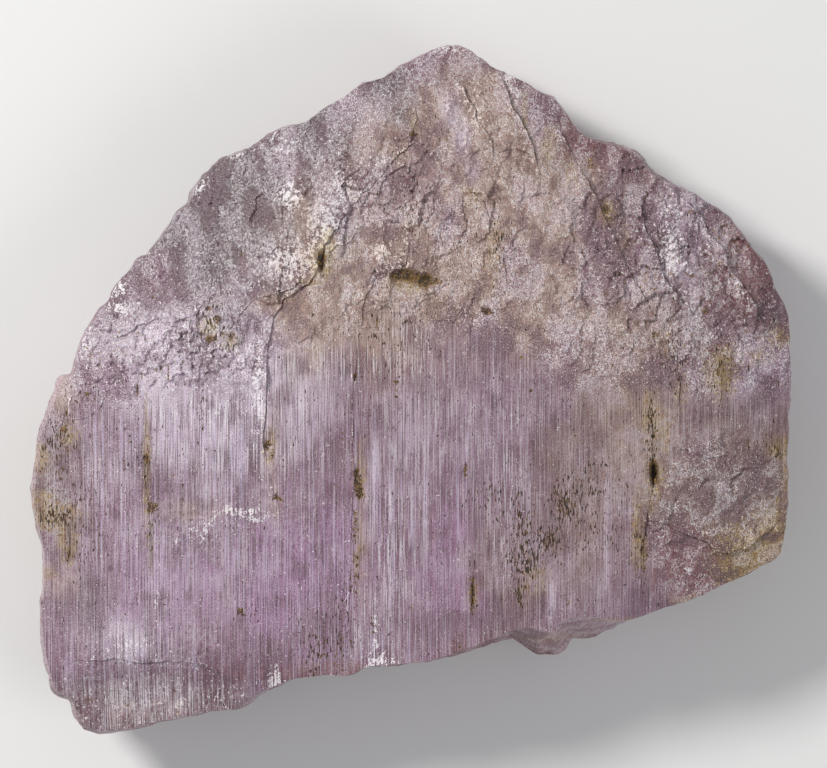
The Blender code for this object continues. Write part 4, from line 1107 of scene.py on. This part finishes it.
# ---- materials
class Shading:
    """A material's node tree, with short calls for the nodes that are used again and again."""

    def __init__(self, name):
        self.material = bpy.data.materials.new(name)
        self.material.use_nodes = True
        self.tree = self.material.node_tree
        self.shader = self.tree.nodes["Principled BSDF"]
        self.output = self.tree.nodes["Material Output"]
        self.place = self.add("ShaderNodeTexCoord").outputs["Object"]

    def add(self, kind, **settings):
        node = self.tree.nodes.new(kind)
        for name, value in settings.items():
            setattr(node, name, value)
        return node

    def put(self, socket, value):
        if isinstance(value, bpy.types.NodeSocket):
            self.tree.links.new(value, socket)
        else:
            socket.default_value = value

    def feed(self, node, **values):
        """Links or sets a node's sockets. A space in a socket's name is written as _."""
        for name, value in values.items():
            self.put(node.inputs[name.replace("_", " ")], value)

    def share(self, name):
        return self.add("ShaderNodeAttribute", attribute_name=name).outputs["Fac"]

    def maths(self, operation, *values, clamp=False):
        node = self.add("ShaderNodeMath", operation=operation, use_clamp=clamp)
        for socket, value in zip(node.inputs, values):
            self.put(socket, value)
        return node.outputs[0]

    def times(self, first, second):
        return self.maths("MULTIPLY", first, second)

    def plus(self, first, second):
        return self.maths("ADD", first, second)

    def minus(self, first, second):
        return self.maths("SUBTRACT", first, second)

    def span(self, value, low, high, to_low=0.0, to_high=1.0):
        """value carried from low..high to to_low..to_high, smoothly and no further."""
        node = self.add("ShaderNodeMapRange", interpolation_type="SMOOTHSTEP")
        self.feed(node, Value=value, From_Min=low, From_Max=high, To_Min=to_low, To_Max=to_high)
        return node.outputs["Result"]

    def blend(self, share, under, over, kind="MIX"):
        node = self.add("ShaderNodeMix", data_type="RGBA", blend_type=kind)
        self.feed(node, Factor=share, A=under, B=over)
        return node.outputs["Result"]

    def stretched(self, cell, offset=0.0):
        """The object's own coordinates, in cells of the given size in millimetres."""
        node = self.add("ShaderNodeMapping")
        scale = [1.0 / (MM * size) for size in cell]
        self.feed(node, Location=(offset, offset, offset), Scale=scale, Vector=self.place)
        return node.outputs["Vector"]

    def noise(self, cell, detail, rough, offset, dimensions="3D"):
        node = self.add("ShaderNodeTexNoise", noise_dimensions=dimensions)
        self.feed(node, Vector=self.stretched(cell, offset), Scale=1.0)
        self.feed(node, Detail=detail, Roughness=rough)
        return node.outputs["Fac"]

    def cracks(self, cell, bent, bend):
        """Distance from the nearest line of a broken network, in cells of the given size."""
        node = self.add("ShaderNodeTexVoronoi", feature="DISTANCE_TO_EDGE", voronoi_dimensions="2D")
        shifted = self.add("ShaderNodeVectorMath", operation="ADD")
        self.put(shifted.inputs[0], self.stretched(cell))
        self.put(shifted.inputs[1], self.times(bent, bend))
        self.feed(node, Vector=shifted.outputs["Vector"], Scale=1.0)
        return node.outputs["Distance"]

    def ragged(self, value, first, first_amount, second, second_amount):
        """value with two noises, both around one half, added to it."""
        for noise, amount in ((first, first_amount), (second, second_amount)):
            value = self.plus(value, self.times(self.minus(noise, 0.5), amount))
        return value


LILAC = (0.280, 0.138, 0.206, 1.0)
PURPLE = (0.41, 0.188, 0.368, 1.0)
LAVENDER = (0.75, 0.59, 0.74, 1.0)
BEIGE = (0.45, 0.292, 0.232, 1.0)
GREY = (0.120, 0.066, 0.082, 1.0)
ROSE = (0.225, 0.120, 0.100, 1.0)
PINK = (0.25, 0.090, 0.100, 1.0)
OCHRE = (0.36, 0.215, 0.03, 1.0)
CLAY = (0.016, 0.007, 0.002, 1.0)
CLAY_LIGHT = (0.33, 0.18, 0.035, 1.0)
WHITE = (0.95, 0.90, 0.93, 1.0)
BLUISH = (0.58, 0.50, 0.70, 1.0)
PALE_BEIGE = (0.60, 0.47, 0.43, 1.0)
PALE_GOLD = (0.78, 0.66, 0.46, 1.0)
WARM_WHITE = (0.88, 0.74, 0.68, 1.0)
ALONG_C = (0.86, 0.52, 0.60, 1.0)
# Dark of gaps and cracks, also used as painted shade between grains.
GAP_AND_SHADE = (0.060, 0.021, 0.026, 1.0)
SHADE = (0.17, 0.080, 0.108, 1.0)
ABSORBED = (0.86, 0.55, 0.80, 1.0)
ABSORPTION_DENSITY = 50.0
REFRACTION = 1.66
TINT_ORDER = (("purple", PURPLE), ("rose", ROSE), ("grey", GREY), ("beige", BEIGE),
              ("lavender", LAVENDER), ("pink", PINK))

# Fine detail: its size in millimetres, across, along the c axis and in depth, then the noise's
# detail, roughness, offset and dimensions.
DASHES = ((0.145, 6.5, 0.8), 1.0, 0.6, 11.0, "2D")
LONG_LINES = ((0.21, 30.0, 1.5), 1.0, 0.6, 12.0, "2D")
GRAINS = ((0.175, 0.19, 0.175), 1.0, 0.7, 21.0)
CRUMBS = ((0.50, 0.70, 0.50), 2.0, 0.65, 22.0)
PECKS = ((0.24, 1.00, 0.40), 1.0, 0.6, 23.0, "2D")
PLATES = (1.3, 1.15, 2.0)
PLATE_BEND = 1.3
DASH_RELIEF = 0.07
GRAIN_RELIEF = 0.12
CRUMB_RELIEF = 0.20


class Kunzite(Shading):
    """The crystal's material. Each method lays its own marks over the colour so far."""

    def __init__(self):
        super().__init__("kunzite")
        self.striated = self.share("striated")
        self.etched = self.minus(1.0, self.striated)
        self.patchy = self.share("patchy")
        self.dashes = self.noise(*DASHES)
        self.grains = self.noise(*GRAINS)
        self.crumbs = self.noise(*CRUMBS)
        self.warm = self.maths("MAXIMUM", self.share("rose"), self.share("beige"), clamp=True)
        self.glassy = self.span(self.share("grey"), 0.15, 0.9)
        self.lay_tints()
        self.lay_striations()
        self.lay_grains()
        self.frost_and_light = self.lay_frost_and_light()
        self.lay_hairs()
        self.lay_plates()
        self.clay = self.lay_cracks_shade_and_clay()
        self.fill_surface()
        self.fill_relief()
        self.fill_body()

    def lay(self, tint, share, amount=None, kind="MIX"):
        """Covers the colour so far with a tint, by a share, or by a share times an amount."""
        if amount is not None:
            share = self.times(share, amount)
        self.colour = self.blend(share, self.colour, tint, kind)

    def lay_tints(self):
        """Tints where their patches lie, ochre stain, and the deeper colour along the c axis."""
        self.colour = LILAC
        for name, tint in TINT_ORDER:
            self.lay(tint, self.span(self.share(name), 0.10, 0.95, 0.0, 0.95))
        stain = self.ragged(1.0, self.crumbs, 2.4, self.grains, 1.2)
        stain = self.span(self.times(self.share("ochre"), stain), 0.18, 0.85, 0.0, 0.88)
        self.lay(OCHRE, stain)
        white = self.blend(self.span(self.share("beige"), 0.1, 0.9), WHITE, WARM_WHITE)
        self.white = self.blend(stain, white, PALE_GOLD)
        self.lay(ALONG_C, self.span(self.share("wall"), 0.2, 1.0, 0.0, 0.85), kind="MULTIPLY")
        self.lay(SHADE, self.span(self.patchy, 0.5, 0.0, 0.0, 0.6))
        self.lay(LAVENDER, self.span(self.patchy, 0.55, 1.0, 0.0, 0.2))

    def lay_striations(self):
        """Long soft lines along the c axis, and short bright and dark dashes on them; the bright dashes are
        painted glints.
        """
        lines = self.noise(*LONG_LINES)
        line_share = self.span(self.warm, 0.1, 0.9, 0.60, 0.32)
        line_tint = self.blend(self.warm, BLUISH, PALE_BEIGE)
        self.lay(line_tint, self.times(self.span(lines, 0.52, 0.74), self.striated), line_share)
        self.lay(SHADE, self.times(self.span(lines, 0.48, 0.34), self.striated), line_share)
        lit = self.ragged(self.dashes, self.share("streaky"), 0.15, self.grains, 0.14)
        # Painted glints: white dashes, strongest where the glints share is.
        pale = self.times(self.span(lit, 0.59, 0.68), self.striated)
        self.lay(WHITE, pale, self.share("glints"))
        self.lay(GAP_AND_SHADE, self.times(self.span(lit, 0.43, 0.33), self.striated), 0.58)

    def lay_grains(self):
        """Sparkling grains, strongest on the etched ground, and the dark gaps between them: the white
        grains are painted glints and the dark gaps painted shade.
        """
        strength = self.span(self.etched, 0.0, 1.0, 0.22, 0.95)
        strength = self.times(strength, self.span(self.glassy, 0.0, 1.0, 1.0, 0.50))
        strength = self.times(strength, self.span(self.warm, 0.2, 1.0, 1.0, 0.70))
        strength = self.times(strength, self.span(self.share("polished"), 0.0, 1.0, 1.0, 0.25))
        sparkle = self.ragged(self.grains, self.crumbs, 0.16, self.patchy, 0.04)
        self.lay(self.white, self.span(sparkle, 0.59, 0.68), strength)
        self.lay(GAP_AND_SHADE, self.times(self.span(sparkle, 0.46, 0.34), strength), 0.90)

    def lay_frost_and_light(self):
        """White broken crystal on lips, chips and flakes, with painted light on lips and risers, drawn out
        along the striations.
        """
        frost_and_light = self.minus(self.share("frost_and_light"), 0.08)
        frost_and_light = self.ragged(frost_and_light, self.crumbs, 3.0, self.grains, 2.0)
        drawn_out = self.times(self.minus(self.dashes, 0.5), self.striated)
        drawn_out = self.times(drawn_out, self.share("frost_and_light"))
        frost_and_light = self.span(self.plus(frost_and_light, self.times(drawn_out, 3.0)), 0.56, 0.86, 0.0, 0.92)
        self.lay(self.white, frost_and_light)
        return frost_and_light

    def hairs(self, level, wide, narrow, *patches):
        """Thin curved lines where the crumbs pass a level, in some of the ground's patches."""
        off = self.maths("ABSOLUTE", self.minus(self.crumbs, level))
        return self.times(self.span(off, wide, narrow), self.span(self.patchy, *patches))

    def lay_hairs(self):
        """Short curved hairs of white breakage and the dark hair cracks between them."""
        pale = self.hairs(0.52, 0.026, 0.010, 0.38, 0.56)
        dark = self.hairs(0.44, 0.016, 0.004, 0.60, 0.40)
        self.lay(WHITE, pale, self.span(self.etched, 0.0, 1.0, 0.12, 0.90))
        self.lay(GAP_AND_SHADE, dark, self.span(self.etched, 0.0, 1.0, 0.15, 0.85))

    def lay_plates(self):
        """Plates of the broken ground, each outlined by a crack."""
        network = self.cracks(PLATES, self.crumbs, PLATE_BEND)
        plates = self.times(self.share("plates"), self.span(self.patchy, 0.2, 0.6, 0.35, 1.0))
        self.lay(WHITE, self.times(self.span(network, 0.18, 0.06), plates), 0.40)
        self.lay(GAP_AND_SHADE, self.times(self.span(network, 0.050, 0.012), plates), 0.75)

    def lay_cracks_shade_and_clay(self):
        """Hair cracks with painted shade along the low sides of the scales and at the feet of the ledges,
        and clay in pits and along seams.
        """
        crack_and_shade = self.ragged(self.share("crack_and_shade"), self.crumbs, 1.1, self.grains, 0.7)
        crack_and_shade_colour = self.blend(self.patchy, GAP_AND_SHADE, CLAY_LIGHT)
        self.lay(crack_and_shade_colour, self.span(crack_and_shade, 0.44, 0.70), 0.80)
        pecks = self.noise(*PECKS)
        pecked = self.minus(self.times(self.share("pecked"), 1.3), 0.38)
        pecked = self.ragged(pecked, pecks, 3.4, self.crumbs, 1.2)
        held = self.maths("MAXIMUM", self.share("clay"), pecked)
        held = self.times(held, self.ragged(1.0, self.crumbs, 1.6, self.grains, 1.4))
        clay = self.span(held, 0.48, 0.60)
        core = self.span(self.ragged(held, self.grains, 1.2, pecks, 0.6), 0.58, 0.72)
        self.lay(self.blend(core, CLAY_LIGHT, CLAY), clay, 0.95)
        return clay

    def fill_surface(self):
        rough = self.span(self.crumbs, 0.3, 0.7, 0.34, 0.50)
        rough = self.minus(rough, self.times(self.glassy, 0.10))
        rough = self.maths("ADD", rough, self.times(self.clay, 0.4), clamp=True)
        clear = self.span(self.glassy, 0.0, 1.0, 0.18, 0.25)
        clear = self.times(clear, self.span(self.share("wall"), 0.0, 1.0, 1.0, 0.15))
        solid = self.maths("MAXIMUM", self.times(self.frost_and_light, 0.8), self.clay)
        clear = self.maths("MULTIPLY", clear, self.minus(1.0, solid), clamp=True)
        self.feed(self.shader, Base_Color=self.colour, Roughness=rough, Transmission_Weight=clear)
        self.shader.inputs["IOR"].default_value = REFRACTION

    def fill_relief(self):
        """Relief finer than the mesh, in millimetres."""
        height = self.times(self.times(self.dashes, self.striated), DASH_RELIEF)
        height = self.plus(height, self.times(self.grains, GRAIN_RELIEF))
        crumbled = self.times(self.crumbs, self.times(self.etched, CRUMB_RELIEF))
        bump = self.add("ShaderNodeBump")
        self.feed(bump, Strength=1.0, Distance=MM, Height=self.plus(height, crumbled))
        self.feed(self.shader, Normal=bump.outputs["Normal"])

    def fill_body(self):
        absorb = self.add("ShaderNodeVolumeAbsorption")
        self.feed(absorb, Color=ABSORBED, Density=ABSORPTION_DENSITY)
        self.feed(self.output, Volume=absorb.outputs["Volume"])


# ---- studio
FLOOR_SIZE = 6.0
FLOOR_COLOUR = (0.80, 0.80, 0.79, 1.0)
FLOOR_ROUGHNESS = 0.7
SKY_COLOUR = (0.95, 0.96, 1.0, 1.0)
SKY_STRENGTH = 0.36
# Soft round lights: place and size in metres, power in watts, and colour.
LIGHTS = {
    "key": ((-0.45, 0.30, 0.56), 0.18, 4.5, (1.0, 0.985, 0.96)),
    "fill": ((0.55, -0.30, 0.60), 0.50, 1.6, (0.97, 0.975, 1.0)),
}
LENS = 200.0
SENSOR = 36.0
NEAREST_SEEN = 0.01
FRAME_WIDTH = 118.7
AIM = (0.43, 0.72, 14.0)


def place_in_scene(name, data, place):
    thing = bpy.data.objects.new(name, data)
    thing.location = place
    bpy.context.scene.collection.objects.link(thing)
    return thing


def floor():
    s = Shading("studio_floor")
    s.feed(s.shader, Base_Color=FLOOR_COLOUR, Roughness=FLOOR_ROUGHNESS)
    bpy.ops.mesh.primitive_plane_add(size=FLOOR_SIZE)
    plane = bpy.context.object
    plane.name = "studio_floor"
    plane.data.materials.append(s.material)


def studio():
    floor()
    world = bpy.data.worlds.new("studio")
    bpy.context.scene.world = world
    world.use_nodes = True
    sky = world.node_tree.nodes["Background"]
    sky.inputs["Color"].default_value = SKY_COLOUR
    sky.inputs["Strength"].default_value = SKY_STRENGTH
    for name, (place, size, power, colour) in LIGHTS.items():
        light = bpy.data.lights.new(name, "AREA")
        light.shape = "DISK"
        light.size = size
        light.energy = power
        light.color = colour
        lamp = place_in_scene(name, light, place)
        lamp.rotation_euler = (-Vector(place)).to_track_quat("-Z", "Y").to_euler()


def camera():
    lens = bpy.data.cameras.new("camera")
    lens.lens = LENS
    lens.sensor_width = SENSOR
    lens.clip_start = NEAREST_SEEN
    away = FRAME_WIDTH * LENS / SENSOR
    place = (AIM[0] * MM, AIM[1] * MM, (AIM[2] + away) * MM)
    bpy.context.scene.camera = place_in_scene("camera", lens, place)


def main():
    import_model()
    crystal_piece()
    studio()
    camera()
    bpy.context.scene.view_settings.view_transform = "Standard"


main()
